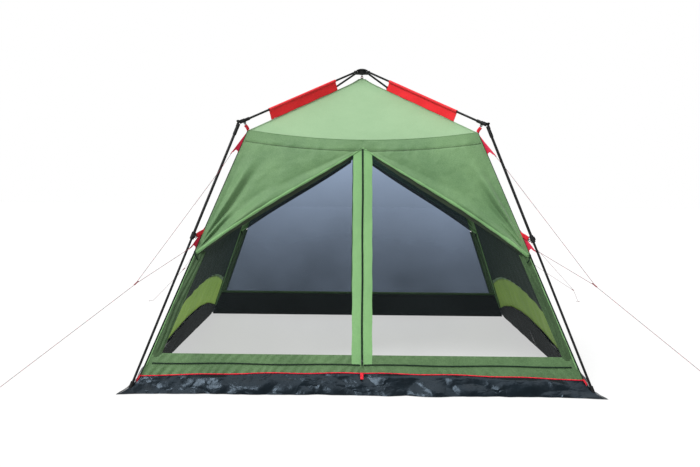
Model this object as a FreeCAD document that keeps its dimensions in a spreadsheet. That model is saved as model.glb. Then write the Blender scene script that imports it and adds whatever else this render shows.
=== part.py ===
"""Pop up tent: a square screened shelter hung inside a folding four-legged steel frame.

Units are millimetres, +Z is up, the origin is on the ground at the centre of the base, the front
door faces -Y.  Each corner of the frame is drawn in its own upright diagonal plane, where r runs
outward from the hub, t runs sideways and z runs up, and is then turned to its place about Z.
"""
import FreeCAD, Part
import math
import os

Vector = FreeCAD.Vector
Placement = FreeCAD.Placement
Rotation = FreeCAD.Rotation

DIMENSIONS = {
    # frame layout
    "pivot_radius": 70.0,
    "arm_length": 1274.6,
    "arm_slope": 22.03,
    "leg_length": 1963.1,
    "leg_lean": 25.83,
    "knee_offset": 15.0,
    # tubes
    "arm_od": 16.0,
    "arm_bore": 14.0,
    "upper_od": 19.0,
    "upper_bore": 16.8,
    "lower_od": 16.0,
    "lower_bore": 13.6,
    "lower_start": 792.0,
    "tube_gap": 22.0,
    # hub
    "hub_radius": 42.0,
    "hub_height": 28.0,
    "hub_cap_radius": 46.0,
    "fork_radius": 11.0,
    "fork_gap": 8.3,
    "fork_cheek": 5.0,
    "hub_pin_radius": 3.0,
    # knee
    "socket_radius": 12.0,
    "knuckle_radius": 12.5,
    "sleeve_start": 10.0,
    "sleeve_end": 95.0,
    "knee_pin_radius": 4.0,
    "knee_lug_radius": 8.0,
    "tongue_width": 6.0,
    "cheek_gap": 3.2,
    "cheek_width": 4.0,
    "running_gap": 0.05,
    # telescopic lock
    "collar_start": 852.0,
    "collar_end": 900.0,
    "collar_radius": 14.5,
    "collar_seat": 870.0,
    "collar_gap": 0.08,
    "button_radius": 5.0,
    "button_height": 875.0,
    "foot_radius": 13.0,
    "foot_start": 1895.0,
    # canopy
    "apex_height": 2190.0,
    "roof_corner": 826.0,
    "roof_corner_height": 1716.0,
    "eave_mid_height": 1651.0,
    "wall_foot": 1430.0,
    "wall_foot_height": 90.0,
    "wall_slope": 0.3715,
    "cloth": 2.0,
    "screen": 1.5,
    "flap": 3.0,
    "skirt_sheet": 1.5,
    "skirt_foot": 1525.0,
    "skirt_half": 1440.0,
    "hem_front": 118.0,
    "hem_rear": 167.0,
    "hem_side": 270.0,
    "piping_radius": 3.0,
    "flap_apex": 1600.0,
    "tie_height": 850.0,
    "zip_low": 168.0,
    "zip_width": 6.0,
    "zip_sheet": 1.6,
    "webbing_width": 20.0,
    "webbing_sheet": 2.0,
    "gusset_sheet": 2.0,
    # guy lines
    "cord_radius": 1.4,
    "runner_ring": 5.0,
    "leg_turn": 11.2,
    "ground_turn": 12.0,
    "peg_turn": 14.0,
}

# corner name: turn about Z, runner radius and height, radius where the line reaches the ground
CORNERS = {
    "front_left": (225.0, 2069.0, 686.0, 3210.0),
    "front_right": (315.0, 2104.0, 708.0, 3210.0),
    "rear_right": (45.0, 3451.0, 130.0, 3536.0),
    "rear_left": (135.0, 2588.0, 390.0, 3168.0),
}
# side name: turn of its outward direction about Z, name of its hem height
SIDES = {
    "front": (270.0, "hem_front"),
    "right": (0.0, "hem_side"),
    "rear": (90.0, "hem_rear"),
    "left": (180.0, "hem_side"),
}

doc = FreeCAD.newDocument("tent")
sheet = doc.addObject("Spreadsheet::Sheet", "Dims")
for row, (alias, value) in enumerate(DIMENSIONS.items(), start=1):
    sheet.set("A%d" % row, alias)
    sheet.set("B%d" % row, str(value))
    sheet.setAlias("B%d" % row, alias)
doc.recompute()

nodes = []


def dim(alias):
    """Read one driving dimension from the sheet."""
    return float(sheet.get(alias))


SLOPE = math.radians(dim("arm_slope"))
LEAN = math.radians(dim("leg_lean"))
ELBOW_Z = dim("leg_length") * math.cos(LEAN)
ELBOW_R = dim("pivot_radius") + dim("arm_length") * math.cos(SLOPE)
PIVOT_Z = ELBOW_Z + dim("arm_length") * math.sin(SLOPE)
FOOT_R = ELBOW_R + dim("leg_length") * math.sin(LEAN)
KNEE_SHIFT = dim("knee_offset") * math.tan((math.pi / 2 - SLOPE - LEAN) / 2)
ARM_FRAME = Placement(Vector(dim("pivot_radius"), 0, PIVOT_Z),
                      Rotation(Vector(0, 1, 0), 90 + dim("arm_slope")))
LEG_FRAME = Placement(Vector(ELBOW_R, 0, ELBOW_Z),
                      Rotation(Vector(0, 1, 0), 180 - dim("leg_lean")))
ALONG_Y = Rotation(Vector(1, 0, 0), -90)
UPRIGHT = Rotation()


def turned(angle):
    """Placement that turns a corner or side drawing to its place about Z."""
    return Placement(Vector(0, 0, 0), Rotation(Vector(0, 0, 1), angle))


def bind(item, **sizes):
    """Drive properties of an object from sheet expressions."""
    for name, expression in sizes.items():
        item.setExpression(name, expression)
    return item


def cylinder(radius, height, base=(0, 0, 0), turn=UPRIGHT):
    """Cylinder whose radius and height are sheet expressions."""
    item = doc.addObject("Part::Cylinder", "cylinder")
    item.Placement = Placement(Vector(*base), turn)
    return bind(item, Radius=radius, Height=height)


def box(length, width, height, base):
    """Box whose three sizes are sheet expressions, placed by its low corner."""
    item = doc.addObject("Part::Box", "block")
    item.Placement = Placement(Vector(*base), UPRIGHT)
    return bind(item, Length=length, Width=width, Height=height)


def ring(radius, section, base, turn=UPRIGHT):
    """Torus about its own Z axis."""
    item = doc.addObject("Part::Torus", "ring")
    item.Placement = Placement(Vector(*base), turn)
    return bind(item, Radius1=radius, Radius2=section)


def fused(items):
    """One solid from overlapping solids."""
    item = doc.addObject("Part::MultiFuse", "fusion")
    item.Shapes = items
    return item


def without(base, tools):
    """A solid with tools cut away."""
    item = doc.addObject("Part::Cut", "cut")
    item.Base = base
    item.Tool = tools[0] if len(tools) == 1 else fused(tools)
    return item


def grouped(items):
    """Several separate solids kept as one part."""
    item = doc.addObject("Part::Compound", "group")
    item.Links = items
    return item


def finish(item, label, placement=None):
    """Name a finished part, place it and keep it for export."""
    item.Label = label
    if placement is not None:
        item.Placement = placement
    nodes.append(item)
    return item


def slab(points, direction, thickness):
    """Flat cloth panel: a planar outline pushed along a direction by a bound thickness."""
    corners = [Vector(*point) for point in points]
    outline = doc.addObject("Part::Feature", "outline")
    outline.Shape = Part.makePolygon(corners + corners[:1])
    item = doc.addObject("Part::Extrusion", "panel")
    item.Base = outline
    item.DirMode = "Custom"
    item.Dir = Vector(*direction)
    item.Solid = True
    return bind(item, LengthFwd=thickness)


# ---------------------------------------------------------------- frame

def arm_tube():
    """Roof arm: thin tube from inside the hub fork to the elbow socket, drilled for the hub pin."""
    outer = cylinder("Dims.arm_od / 2", "Dims.arm_length + Dims.fork_radius - Dims.tube_gap",
                     (0, 0, -dim("fork_radius")))
    bore = cylinder("Dims.arm_bore / 2", "Dims.arm_length + 20", (0, 0, -15))
    pin_hole = cylinder("Dims.hub_pin_radius + Dims.running_gap", "Dims.arm_od + 4",
                        (0, -dim("arm_od") / 2 - 2, 0), ALONG_Y)
    return without(outer, [bore, pin_hole])


def elbow_socket():
    """Arm half of the knee: sleeve, two cheeks, the knee pin with heads and the strap eye."""
    end = dim("arm_length")
    knee_x = -dim("knee_offset")
    knee_z = end + KNEE_SHIFT
    sleeve = cylinder("Dims.socket_radius", "Dims.sleeve_end - Dims.sleeve_start",
                      (0, 0, end - dim("sleeve_end")))
    parts = [sleeve]
    for side_y in (dim("cheek_gap"), -dim("cheek_gap") - dim("cheek_width")):
        cheek = box("Dims.knee_offset", "Dims.cheek_width", "1", (knee_x, side_y, end - 40))
        cheek.Height = knee_z - end + 40
        cheek.setExpression("Height", None)
        parts.append(cheek)
        parts.append(cylinder("Dims.knee_lug_radius", "Dims.cheek_width",
                              (knee_x, side_y, knee_z), ALONG_Y))
    parts.append(cylinder("Dims.knee_pin_radius", "2 * (Dims.cheek_gap + Dims.cheek_width) + 4",
                          (knee_x, -dim("cheek_gap") - dim("cheek_width") - 2, knee_z), ALONG_Y))
    for head_y in (dim("cheek_gap") + dim("cheek_width"),
                   -dim("cheek_gap") - dim("cheek_width") - 2):
        parts.append(cylinder("Dims.knee_pin_radius + 2", "2", (knee_x, head_y, knee_z), ALONG_Y))
    parts.append(box("12", "6", "18", (9, -3, end - 57)))
    parts.append(cylinder("9", "6", (21, -3, end - 48), ALONG_Y))
    rivet = doc.addObject("Part::Sphere", "rivet")
    rivet.Placement.Base = Vector(-9.5, 0, end - 50)
    bind(rivet, Radius="6")
    parts.append(rivet)
    bore = cylinder("Dims.arm_od / 2", "Dims.sleeve_end - Dims.tube_gap",
                    (0, 0, end - dim("sleeve_end")))
    eye = cylinder("4.5", "10", (21, -5, end - 48), ALONG_Y)
    return without(fused(parts), [bore, eye])


def knee_knuckle():
    """Leg half of the knee: sleeve and tongue with a running hole for the knee pin."""
    knee_x = -dim("knee_offset")
    knee_z = -KNEE_SHIFT
    half = dim("tongue_width") / 2
    sleeve = cylinder("Dims.knuckle_radius", "Dims.sleeve_end - Dims.sleeve_start",
                      (0, 0, dim("sleeve_start")))
    tongue = box("Dims.knee_offset", "Dims.tongue_width", "40", (knee_x, -half, knee_z))
    lug = cylinder("Dims.knee_lug_radius", "Dims.tongue_width", (knee_x, -half, knee_z), ALONG_Y)
    bore = cylinder("Dims.upper_od / 2", "Dims.sleeve_end", (0, 0, dim("tube_gap")))
    pin_hole = cylinder("Dims.knee_pin_radius + Dims.running_gap", "Dims.tongue_width + 4",
                        (knee_x, -half - 2, knee_z), ALONG_Y)
    return without(fused([sleeve, tongue, lug]), [bore, pin_hole])


def upper_leg():
    """Upper leg tube from the knee knuckle to the lock collar."""
    outer = cylinder("Dims.upper_od / 2", "Dims.collar_seat - Dims.tube_gap",
                     (0, 0, dim("tube_gap")))
    bore = cylinder("Dims.upper_bore / 2", "Dims.leg_length", (0, 0, 0))
    return without(outer, [bore])


def lock_collar():
    """Collar of the telescopic joint with its button housing and the canopy hook."""
    middle = (dim("collar_start") + dim("collar_end")) / 2
    body = cylinder("Dims.collar_radius", "Dims.collar_end - Dims.collar_start",
                    (0, 0, dim("collar_start")))
    housing = box("18", "24", "26", (-9, 0, dim("button_height") - 13))
    neck = box("6", "4.4", "8", (12, -2.2, middle - 4))
    hook = ring("8", "2.2", (24, 0, middle), ALONG_Y)
    bore = cylinder("Dims.lower_od / 2 + Dims.collar_gap", "Dims.collar_end",
                    (0, 0, dim("collar_start") - 10))
    seat = cylinder("Dims.upper_od / 2", "Dims.collar_seat - Dims.collar_start + 10",
                    (0, 0, dim("collar_start") - 10))
    pocket = cylinder("Dims.button_radius + Dims.running_gap", "20",
                      (0, 13.5, dim("button_height")), ALONG_Y)
    return without(fused([body, housing, neck, hook]), [bore, seat, pocket])


def lower_leg():
    """Lower leg tube that slides up inside the upper leg."""
    outer = cylinder("Dims.lower_od / 2", "Dims.leg_length - 12 - Dims.lower_start",
                     (0, 0, dim("lower_start")))
    bore = cylinder("Dims.lower_bore / 2", "Dims.leg_length", (0, 0, 0))
    return without(outer, [bore])


def foot_cap():
    """Plastic foot pressed over the tube end and flat on the ground."""
    body = cylinder("Dims.foot_radius", "Dims.leg_length + 12 - Dims.foot_start",
                    (0, 0, dim("foot_start")))
    bore = cylinder("Dims.lower_od / 2", "Dims.leg_length - 12", (0, 0, 0))
    ground = box("200", "200", "200", (0, 0, 0))
    ground.Placement = LEG_FRAME.inverse() * Placement(Vector(FOOT_R - 100, -100, -200), UPRIGHT)
    return without(body, [bore, ground])


def lock_button():
    """Push button of the leg lock, pressed sideways into the collar housing."""
    height = dim("button_height")
    stem = cylinder("Dims.button_radius", "10.5", (0, 18, height), ALONG_Y)
    cap = cylinder("Dims.button_radius + 1.5", "1.8", (0, 28.5, height), ALONG_Y)
    return fused([stem, cap])


MEMBERS = (
    ("arm_tube", arm_tube, ARM_FRAME),
    ("elbow_socket", elbow_socket, ARM_FRAME),
    ("knee_knuckle", knee_knuckle, LEG_FRAME),
    ("upper_leg", upper_leg, LEG_FRAME),
    ("lock_collar", lock_collar, LEG_FRAME),
    ("lower_leg", lower_leg, LEG_FRAME),
    ("foot_cap", foot_cap, LEG_FRAME),
    ("lock_button", lock_button, LEG_FRAME),
)


def frame_corner(corner, angle):
    """Arm, knee, telescopic leg and foot of one corner."""
    for label, maker, frame in MEMBERS:
        finish(maker(), "%s_%s" % (label, corner), turned(angle) * frame)


def hub():
    """Fork block with its four pins, the cap over it and the hook under it."""
    half = dim("hub_height") / 2
    gap = dim("fork_gap")
    cheek = dim("fork_cheek")
    pivot = dim("pivot_radius")
    blocks = [cylinder("Dims.hub_radius", "Dims.hub_height", (0, 0, PIVOT_Z - half))]
    holes = []
    pins = []
    for angle, _, _, _ in CORNERS.values():
        forks = []
        for side_y in (gap, -gap - cheek):
            forks.append(box("Dims.pivot_radius - 30", "Dims.fork_cheek", "2 * Dims.fork_radius",
                             (30, side_y, PIVOT_Z - dim("fork_radius"))))
            forks.append(cylinder("Dims.fork_radius", "Dims.fork_cheek",
                                  (pivot, side_y, PIVOT_Z), ALONG_Y))
        fork = fused([forks[0], forks[1]])
        far_fork = fused([forks[2], forks[3]])
        fork.Placement = turned(angle)
        far_fork.Placement = turned(angle)
        blocks += [fork, far_fork]
        hole = cylinder("Dims.hub_pin_radius", "60", (pivot, -30, PIVOT_Z), ALONG_Y)
        hole.Placement = turned(angle) * hole.Placement
        holes.append(hole)
        shank = cylinder("Dims.hub_pin_radius", "2 * (Dims.fork_gap + Dims.fork_cheek) + 4",
                         (pivot, -gap - cheek - 2, PIVOT_Z), ALONG_Y)
        heads = [cylinder("Dims.hub_pin_radius + 2", "2", (pivot, head_y, PIVOT_Z), ALONG_Y)
                 for head_y in (gap + cheek, -gap - cheek - 2)]
        pin = fused([shank] + heads)
        pin.Placement = turned(angle)
        pins.append(pin)
    finish(without(fused(blocks), holes), "hub_body")
    finish(grouped(pins), "hub_pins")
    rim = cylinder("Dims.hub_cap_radius", "8", (0, 0, PIVOT_Z + half))
    dome = doc.addObject("Part::Cone", "dome")
    dome.Placement.Base = Vector(0, 0, PIVOT_Z + half + 8)
    bind(dome, Radius1="Dims.hub_cap_radius", Radius2="Dims.hub_cap_radius / 2", Height="9")
    finish(fused([rim, dome]), "hub_cap")
    plate = cylinder("14", "4", (0, 0, PIVOT_Z - half - 4))
    stem = cylinder("4", "14", (0, 0, PIVOT_Z - half - 16))
    eye = ring("8", "2.5", (0, 0, PIVOT_Z - half - 24), ALONG_Y)
    finish(fused([plate, stem, eye]), "canopy_hook")


# ---------------------------------------------------------------- canopy

def corner_line(height):
    """Half width of the canopy at a height, along its corner edges."""
    return dim("wall_foot") - dim("wall_slope") * (height - dim("wall_foot_height"))


def wall_point(side, along, height, out=0.0):
    """Point on a wall's plane, moved outward by out."""
    angle = math.radians(SIDES[side][0])
    reach = corner_line(height) + out
    return (reach * math.cos(angle) - along * math.sin(angle),
            reach * math.sin(angle) + along * math.cos(angle), height)


def inward(side):
    """Level direction from a wall towards the middle of the tent."""
    angle = math.radians(SIDES[side][0])
    return (-math.cos(angle), -math.sin(angle), 0)


def wall_panel(side, outline, thickness, out=0.0):
    """Flat panel in a wall's plane from (along, height) pairs."""
    points = [wall_point(side, along, height, out) for along, height in outline]
    return slab(points, inward(side), thickness)


def roof():
    """Eight flat roof triangles between the apex, the roof corners and the middles of the eaves."""
    corner = dim("roof_corner")
    panels = []
    for side in SIDES:
        middle = wall_point(side, 0, dim("eave_mid_height"))
        for hand in (-1, 1):
            edge = wall_point(side, hand * corner, dim("roof_corner_height"))
            panels.append(slab([(0, 0, dim("apex_height")), edge, middle], (0, 0, -1), "Dims.cloth"))
    finish(grouped(panels), "roof_panels")


def half_wall(side, hand, margin=4.0):
    """Outline of one half of a wall, from its middle to its corner."""
    top = dim("roof_corner_height") - margin
    low = dim("wall_foot_height") + 2
    return [(hand * margin, dim("eave_mid_height") - margin),
            (hand * (corner_line(top) - margin), top),
            (hand * (corner_line(low) - margin), low),
            (hand * margin, dim(SIDES[side][1]) + 2)]


def door_wall(side):
    """Mesh door halves, storm flaps held back to the corners and the zips of one door wall."""
    apex = dim("flap_apex")
    tie = dim("tie_height")
    finish(grouped([wall_panel(side, half_wall(side, hand), "Dims.screen") for hand in (-1, 1)]),
           "%s_mesh_doors" % side)
    flaps = []
    for hand in (-1, 1):
        outline = [(hand * 4, apex + 30), (hand * (corner_line(apex + 30) - 8), apex + 30),
                   (hand * (corner_line(tie) - 8), tie), (hand * 4, apex)]
        flaps.append(wall_panel(side, outline, "Dims.flap", dim("flap") + 0.5))
    finish(grouped(flaps), "%s_storm_flaps" % side)


def door_zips():
    """Upright and level zip of each door wall."""
    half = dim("zip_width") / 2
    strips = []
    for side in ("front", "rear"):
        low = dim("zip_low") + (0 if side == "front" else 30)
        reach = corner_line(low) - 120
        upright = [(-half, low + 8), (half, low + 8), (half, dim("flap_apex") - 40),
                   (-half, dim("flap_apex") - 40)]
        level = [(-reach, low), (reach, low), (reach, low + 6), (-reach, low + 6)]
        for outline in (upright, level):
            strips.append(wall_panel(side, outline, "Dims.zip_sheet", dim("zip_sheet") + 0.5))
    finish(grouped(strips), "door_zips")


def zip_sliders():
    """Zip slider with its pull tab, one at the foot of each upright zip."""
    for side in ("front", "rear"):
        low = dim("zip_low") + (14 if side == "front" else 44)
        body = wall_panel(side, [(-6, low), (6, low), (6, low + 20), (-6, low + 20)], "4", 6.6)
        tab = wall_panel(side, [(-3, low - 24), (3, low - 24), (3, low + 6), (-3, low + 6)], "2", 8.0)
        finish(fused([body, tab]), "%s_zip_slider" % side)


def side_wall(side):
    """Closed side wall: two wall halves and the storm panel zipped over the mesh window."""
    panels = [wall_panel(side, half_wall(side, hand), "Dims.cloth") for hand in (-1, 1)]
    high = dim("eave_mid_height") - 110
    for hand in (-1, 1):
        outline = [(hand * 4, high), (hand * (corner_line(high) - 110), high),
                   (hand * (corner_line(380) - 110), 380), (hand * 4, 540)]
        panels.append(wall_panel(side, outline, "Dims.screen", dim("screen") + 0.5))
    finish(grouped(panels), "%s_side_wall" % side)


def hem():
    """Red piping along the hem and the plastic mud skirt that flares from it to the ground."""
    low = dim("wall_foot_height")
    piping = []
    skirt = []
    for side, (_, hem_alias) in SIDES.items():
        middle_height = dim(hem_alias)
        middle = Vector(*wall_point(side, 0, middle_height, 4.5))
        for hand in (-1, 1):
            start = Vector(*wall_point(side, hand * (corner_line(low) - 8), low, 4.5))
            run = middle - start
            rod = cylinder("Dims.piping_radius", "1", tuple(start),
                           Rotation(Vector(0, 0, 1), run))
            rod.setExpression("Height", None)
            rod.Height = run.Length - 0.5
            piping.append(rod)
            top_corner = wall_point(side, hand * (corner_line(low) - 12), low - 2)
            top_middle = wall_point(side, 0, middle_height - 2)
            drop = dim("skirt_foot") - corner_line(0)
            foot_middle = wall_point(side, 0, 0, drop)
            foot_corner = wall_point(side, hand * dim("skirt_half"), 0, drop)
            for outline in ((top_corner, top_middle, foot_middle),
                            (top_corner, foot_middle, foot_corner)):
                skirt.append(slab(outline, inward(side), "Dims.skirt_sheet"))
    finish(grouped(piping), "hem_piping")
    finish(grouped(skirt), "mud_skirt")


# ---------------------------------------------------------------- corner trim

def edge_radius(height):
    """Distance of the canopy's corner edge from the tent's axis."""
    return corner_line(height) * math.sqrt(2)


def leg_radius(height):
    """Distance of the leg's axis from the tent's axis."""
    return FOOT_R - height * math.tan(LEAN)


def hip_sleeve(angle):
    """Red sleeve round an arm and its web down to the roof's hip."""
    arm_start = 0.20 * dim("arm_length")
    arm_end = 0.77 * dim("arm_length")
    shell = cylinder("10.5", "0.57 * Dims.arm_length", (0, 0, arm_start))
    inner = cylinder("9.2", "Dims.arm_length", (0, 0, 0))
    tube = without(shell, [inner])
    tube.Placement = turned(angle) * ARM_FRAME
    hip_slope = (dim("apex_height") - dim("roof_corner_height")) / edge_radius(
        dim("roof_corner_height"))
    outline = []
    for distance in (arm_start, arm_end):
        r = dim("pivot_radius") + distance * math.cos(SLOPE)
        outline.append((r, -1, dim("apex_height") - hip_slope * r + 3))
    for distance in (arm_end, arm_start):
        point = ARM_FRAME.multVec(Vector(10.6, -1, distance))
        outline.append(tuple(point))
    web = slab(outline, (0, 1, 0), "Dims.gusset_sheet")
    web.Placement = turned(angle)
    return [tube, web]


def gussets(angle):
    """Upper and middle red gussets of one corner, outlined by height and reach from the edge."""
    upper = ((1700, 2), (1555, 63), (1568, 24), (1535, 2))
    middle = ((1040, 2), (990, 24), (945, 20), (905, 54), (914, 26), (880, 2))
    items = []
    for outline in (upper, middle):
        points = [(edge_radius(height) + reach, -1, height) for height, reach in outline]
        item = slab(points, (0, 1, 0), "Dims.gusset_sheet")
        item.Placement = turned(angle)
        items.append(item)
    return items


def strap(angle, start, end):
    """Flat webbing strap between two (r, z) points of a corner's diagonal plane."""
    run = Vector(end[0] - start[0], 0, end[1] - start[1])
    across = Vector(-run.z, 0, run.x).normalize() * dim("webbing_sheet")
    half = dim("webbing_width") / 2
    first = Vector(start[0], -half, start[1])
    last = Vector(end[0], -half, end[1])
    item = slab([tuple(p) for p in (first, last, last + across, first + across)], (0, 1, 0),
                "Dims.webbing_width")
    item.Placement = turned(angle)
    return item


def trims():
    """Hip sleeves, gussets and webbing straps of all corners, and the loop at the apex."""
    sleeves = []
    gores = []
    straps = [box("24", "2", "3.5", (-12, -1, dim("apex_height") + 1))]
    for angle, _, _, _ in CORNERS.values():
        sleeves += hip_sleeve(angle)
        gores += gussets(angle)
        straps.append(strap(angle, (edge_radius(1720) + 4, 1722), (1194, 1757)))
        straps.append(strap(angle, (edge_radius(990) + 28, 985), (1594, 975)))
        straps.append(strap(angle, (edge_radius(84) + 6, 82), (2058, 44)))
    finish(grouped(sleeves), "hip_sleeves")
    finish(grouped(gores), "red_gussets")
    finish(grouped(straps), "webbing_straps")


# ---------------------------------------------------------------- guy lines

def cord_route(points, radii):
    """Straight runs joined by tangent arcs: returns the wire and its length."""
    edges = []
    start = points[0]
    for before, corner, after, radius in zip(points, points[1:], points[2:], radii):
        arrive = (corner - before).normalize()
        leave = (after - corner).normalize()
        turn = arrive.getAngle(leave)
        reach = radius * math.tan(turn / 2)
        first = corner - arrive * reach
        last = corner + leave * reach
        inside = (leave - arrive).normalize()
        middle = corner + inside * (radius / math.cos(turn / 2) - radius)
        edges.append(Part.LineSegment(start, first).toShape())
        edges.append(Part.Arc(first, middle, last).toShape())
        start = last
    edges.append(Part.LineSegment(start, points[-1]).toShape())
    wire = Part.Wire(edges)
    return wire, wire.Length


def cord(label, points, radii, angle):
    """Plain round cord along a route, turned to its corner."""
    wire, length = cord_route(points, radii)
    first = wire.Edges[0]
    direction = first.tangentAt(first.FirstParameter)
    section = Part.Wire(Part.makeCircle(dim("cord_radius"), points[0], direction))
    solid = wire.makePipeShell([section], True, True)
    item = doc.addObject("Part::Feature", label)
    item.Shape = solid
    finish(item, label, turned(angle))
    ideal = math.pi * dim("cord_radius") ** 2 * length
    print("cord %s length %.0f mm, turns %s mm, volume ratio %.4f"
          % (label, length, ", ".join("%.1f" % radius for radius in radii), solid.Volume / ideal))


def bridle_points(corner):
    """Ends, leg turns and meeting point of a corner's guy bridle."""
    _, runner_r, runner_z, _ = CORNERS[corner]
    upper = Vector(edge_radius(1555) + 60, 3.2, 1555)
    middle = Vector(edge_radius(905) + 50, 3.2, 907)
    meeting = Vector(runner_r, 0, runner_z)

    def beside_leg(start):
        run = meeting - start
        lean = math.tan(LEAN)
        share = (FOOT_R - start.z * lean - start.x) / (run.x + run.z * lean)
        point = start + run * share
        return Vector(point.x, 13.0, point.z)

    return upper, beside_leg(upper), meeting, beside_leg(middle), middle


def guy(corner):
    """Bridle, runner plate and single line to the ground of one corner."""
    angle, _, _, ground_r = CORNERS[corner]
    route = bridle_points(corner)
    turn = dim("leg_turn")
    ring_radius = dim("runner_ring")
    cord("guy_bridle_%s" % corner, list(route), [turn, ring_radius, turn], angle)
    meeting = route[2]
    to_upper = (route[1] - meeting).normalize()
    to_middle = (route[3] - meeting).normalize()
    toward = (to_upper + to_middle).normalize()
    opening = to_upper.getAngle(to_middle) / 2
    centre = meeting + toward * (ring_radius / math.sin(opening))
    outward = toward * -1
    across = Vector(0, 1, 0)
    facing = outward.cross(across).normalize()
    frame = FreeCAD.Matrix(outward.x, across.x, facing.x, centre.x,
                           outward.y, across.y, facing.y, centre.y,
                           outward.z, across.z, facing.z, centre.z, 0, 0, 0, 1)
    plate = box("38", "14", "4", (-2, -7, -2))
    slot = box("8", "6", "8", (2, -3, -4))
    eye = cylinder("3", "8", (27, 0, -4))
    runner = without(plate, [slot, eye])
    runner.Placement = turned(angle) * Placement(frame)
    ground = Vector(ground_r, 0, dim("cord_radius") + 0.4)
    tail = ground + Vector(40, 0, 0)
    bend = tail + Vector(0, 30, 0)
    back = bend + Vector(-30, 0, 0)
    start = centre + outward * 36.6
    cord("guy_line_%s" % corner, [start, ground, tail, bend, back],
         [dim("ground_turn"), dim("peg_turn"), dim("peg_turn")], angle)
    return runner


# ---------------------------------------------------------------- assembly

hub()
for corner_name, corner_data in CORNERS.items():
    frame_corner(corner_name, corner_data[0])
roof()
for door_side in ("front", "rear"):
    door_wall(door_side)
door_zips()
zip_sliders()
for closed_side in ("left", "right"):
    side_wall(closed_side)
hem()
trims()
finish(grouped([guy(corner_name) for corner_name in CORNERS]), "line_runners")
doc.recompute()

for thing in doc.Objects:
    if "Invalid" in thing.State or "Error" in thing.State:
        raise RuntimeError("%s did not build: %s" % (thing.Label, thing.State))
for node in nodes:
    if node.Shape.isNull() or not node.Shape.isValid():
        raise RuntimeError("%s has no valid shape" % node.Label)

os.makedirs("parts", exist_ok=True)
for node in nodes:
    node.Shape.exportStep("parts/%s.step" % node.Label)
print("%d parts, elbow r %.1f z %.1f, pivot z %.1f, foot r %.1f"
      % (len(nodes), ELBOW_R, ELBOW_Z, PIVOT_Z, FOOT_R))
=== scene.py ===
"""Looks of the pop up tent: cloth, webbing, film, cords and fittings round the folding frame."""

import logging
import math
from dataclasses import dataclass, field
from enum import Enum
from typing import Callable, Dict, List, Sequence, Tuple

import bmesh
import bpy
from mathutils import Matrix, Vector, noise

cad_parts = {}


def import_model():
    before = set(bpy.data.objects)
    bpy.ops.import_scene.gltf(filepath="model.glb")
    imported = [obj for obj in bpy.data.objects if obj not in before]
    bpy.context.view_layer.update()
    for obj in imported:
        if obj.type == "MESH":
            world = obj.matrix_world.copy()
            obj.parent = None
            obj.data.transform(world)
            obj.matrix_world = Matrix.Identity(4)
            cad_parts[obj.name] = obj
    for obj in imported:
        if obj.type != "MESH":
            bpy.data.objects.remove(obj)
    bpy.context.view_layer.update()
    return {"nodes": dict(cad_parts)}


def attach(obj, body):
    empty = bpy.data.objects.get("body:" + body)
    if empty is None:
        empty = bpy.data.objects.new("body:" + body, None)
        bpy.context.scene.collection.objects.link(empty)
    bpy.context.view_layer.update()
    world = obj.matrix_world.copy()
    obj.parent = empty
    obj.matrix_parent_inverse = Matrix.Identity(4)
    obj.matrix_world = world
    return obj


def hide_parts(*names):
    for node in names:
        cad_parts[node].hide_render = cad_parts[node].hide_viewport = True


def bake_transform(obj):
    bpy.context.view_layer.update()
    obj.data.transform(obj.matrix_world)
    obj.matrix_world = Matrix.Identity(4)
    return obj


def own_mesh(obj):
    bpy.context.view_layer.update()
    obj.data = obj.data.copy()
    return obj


logging.basicConfig(level=logging.INFO, format="%(name)s: %(message)s")
LOG = logging.getLogger("tent")

Spot = Tuple[Vector, Tuple[float, float]]
Place = Callable[[float, float], Spot]

# canopy: foot, fall and heights of its walls, roof and door, in metres
WALL_FOOT = 1.430
WALL_FOOT_Z = 0.090
WALL_FALL = 0.3715
ROOF_APEX_Z = 2.190
ROOF_CORNER = 0.826
EAVE_CORNER_Z = 1.716
EAVE_MID_Z = 1.651
TIE_Z = 0.850
DOOR_APEX_Z = 1.600
ZIP_FRONT_Z, ZIP_REAR_Z = 0.168, 0.200
SLIDER_FRONT_Z, SLIDER_REAR_Z = 0.191, 0.221
MESH_FRONT_Z, MESH_REAR_Z = 0.227, 0.250
# frame: slopes, lengths and pivots of one arm and its leg in the diagonal plane
ARM_SLOPE = math.radians(22.03)
LEG_LEAN = math.radians(25.83)
ARM_LENGTH = 1.2746
LEG_LENGTH = 1.9631
PIVOT_R = 0.070
ELBOW_Z = LEG_LENGTH * math.cos(LEG_LEAN)
ELBOW_R = PIVOT_R + ARM_LENGTH * math.cos(ARM_SLOPE)
PIVOT_Z = ELBOW_Z + ARM_LENGTH * math.sin(ARM_SLOPE)
FOOT_R = ELBOW_R + LEG_LENGTH * math.sin(LEG_LEAN)
# guy lines of a corner: reach and height of the runner, reach of the ground loop
GUY_PLAN = {"front_left": (2.069, 0.686, 3.210), "front_right": (2.104, 0.708, 3.210),
            "rear_right": (3.451, 0.130, 3.536), "rear_left": (2.588, 0.390, 3.168)}
# long folds that run out from a flap's tie: height in metres, direction and width in radians
LONG_FOLDS = ((0.020, 1.06, 0.040), (-0.014, 0.97, 0.035), (0.012, 0.66, 0.045),
              (-0.008, 0.76, 0.040))
# one coil of a zip and the distance to the next, in metres
TOOTH, TOOTH_PITCH = (0.0032, 0.0055, 0.0022), 0.006
# camera: lens on a 36 mm wide back, and its rise as a share of that width
BACK_MM, LENS_MM, LENS_SHIFT = 36.0, 41.9143, -0.082143


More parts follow.
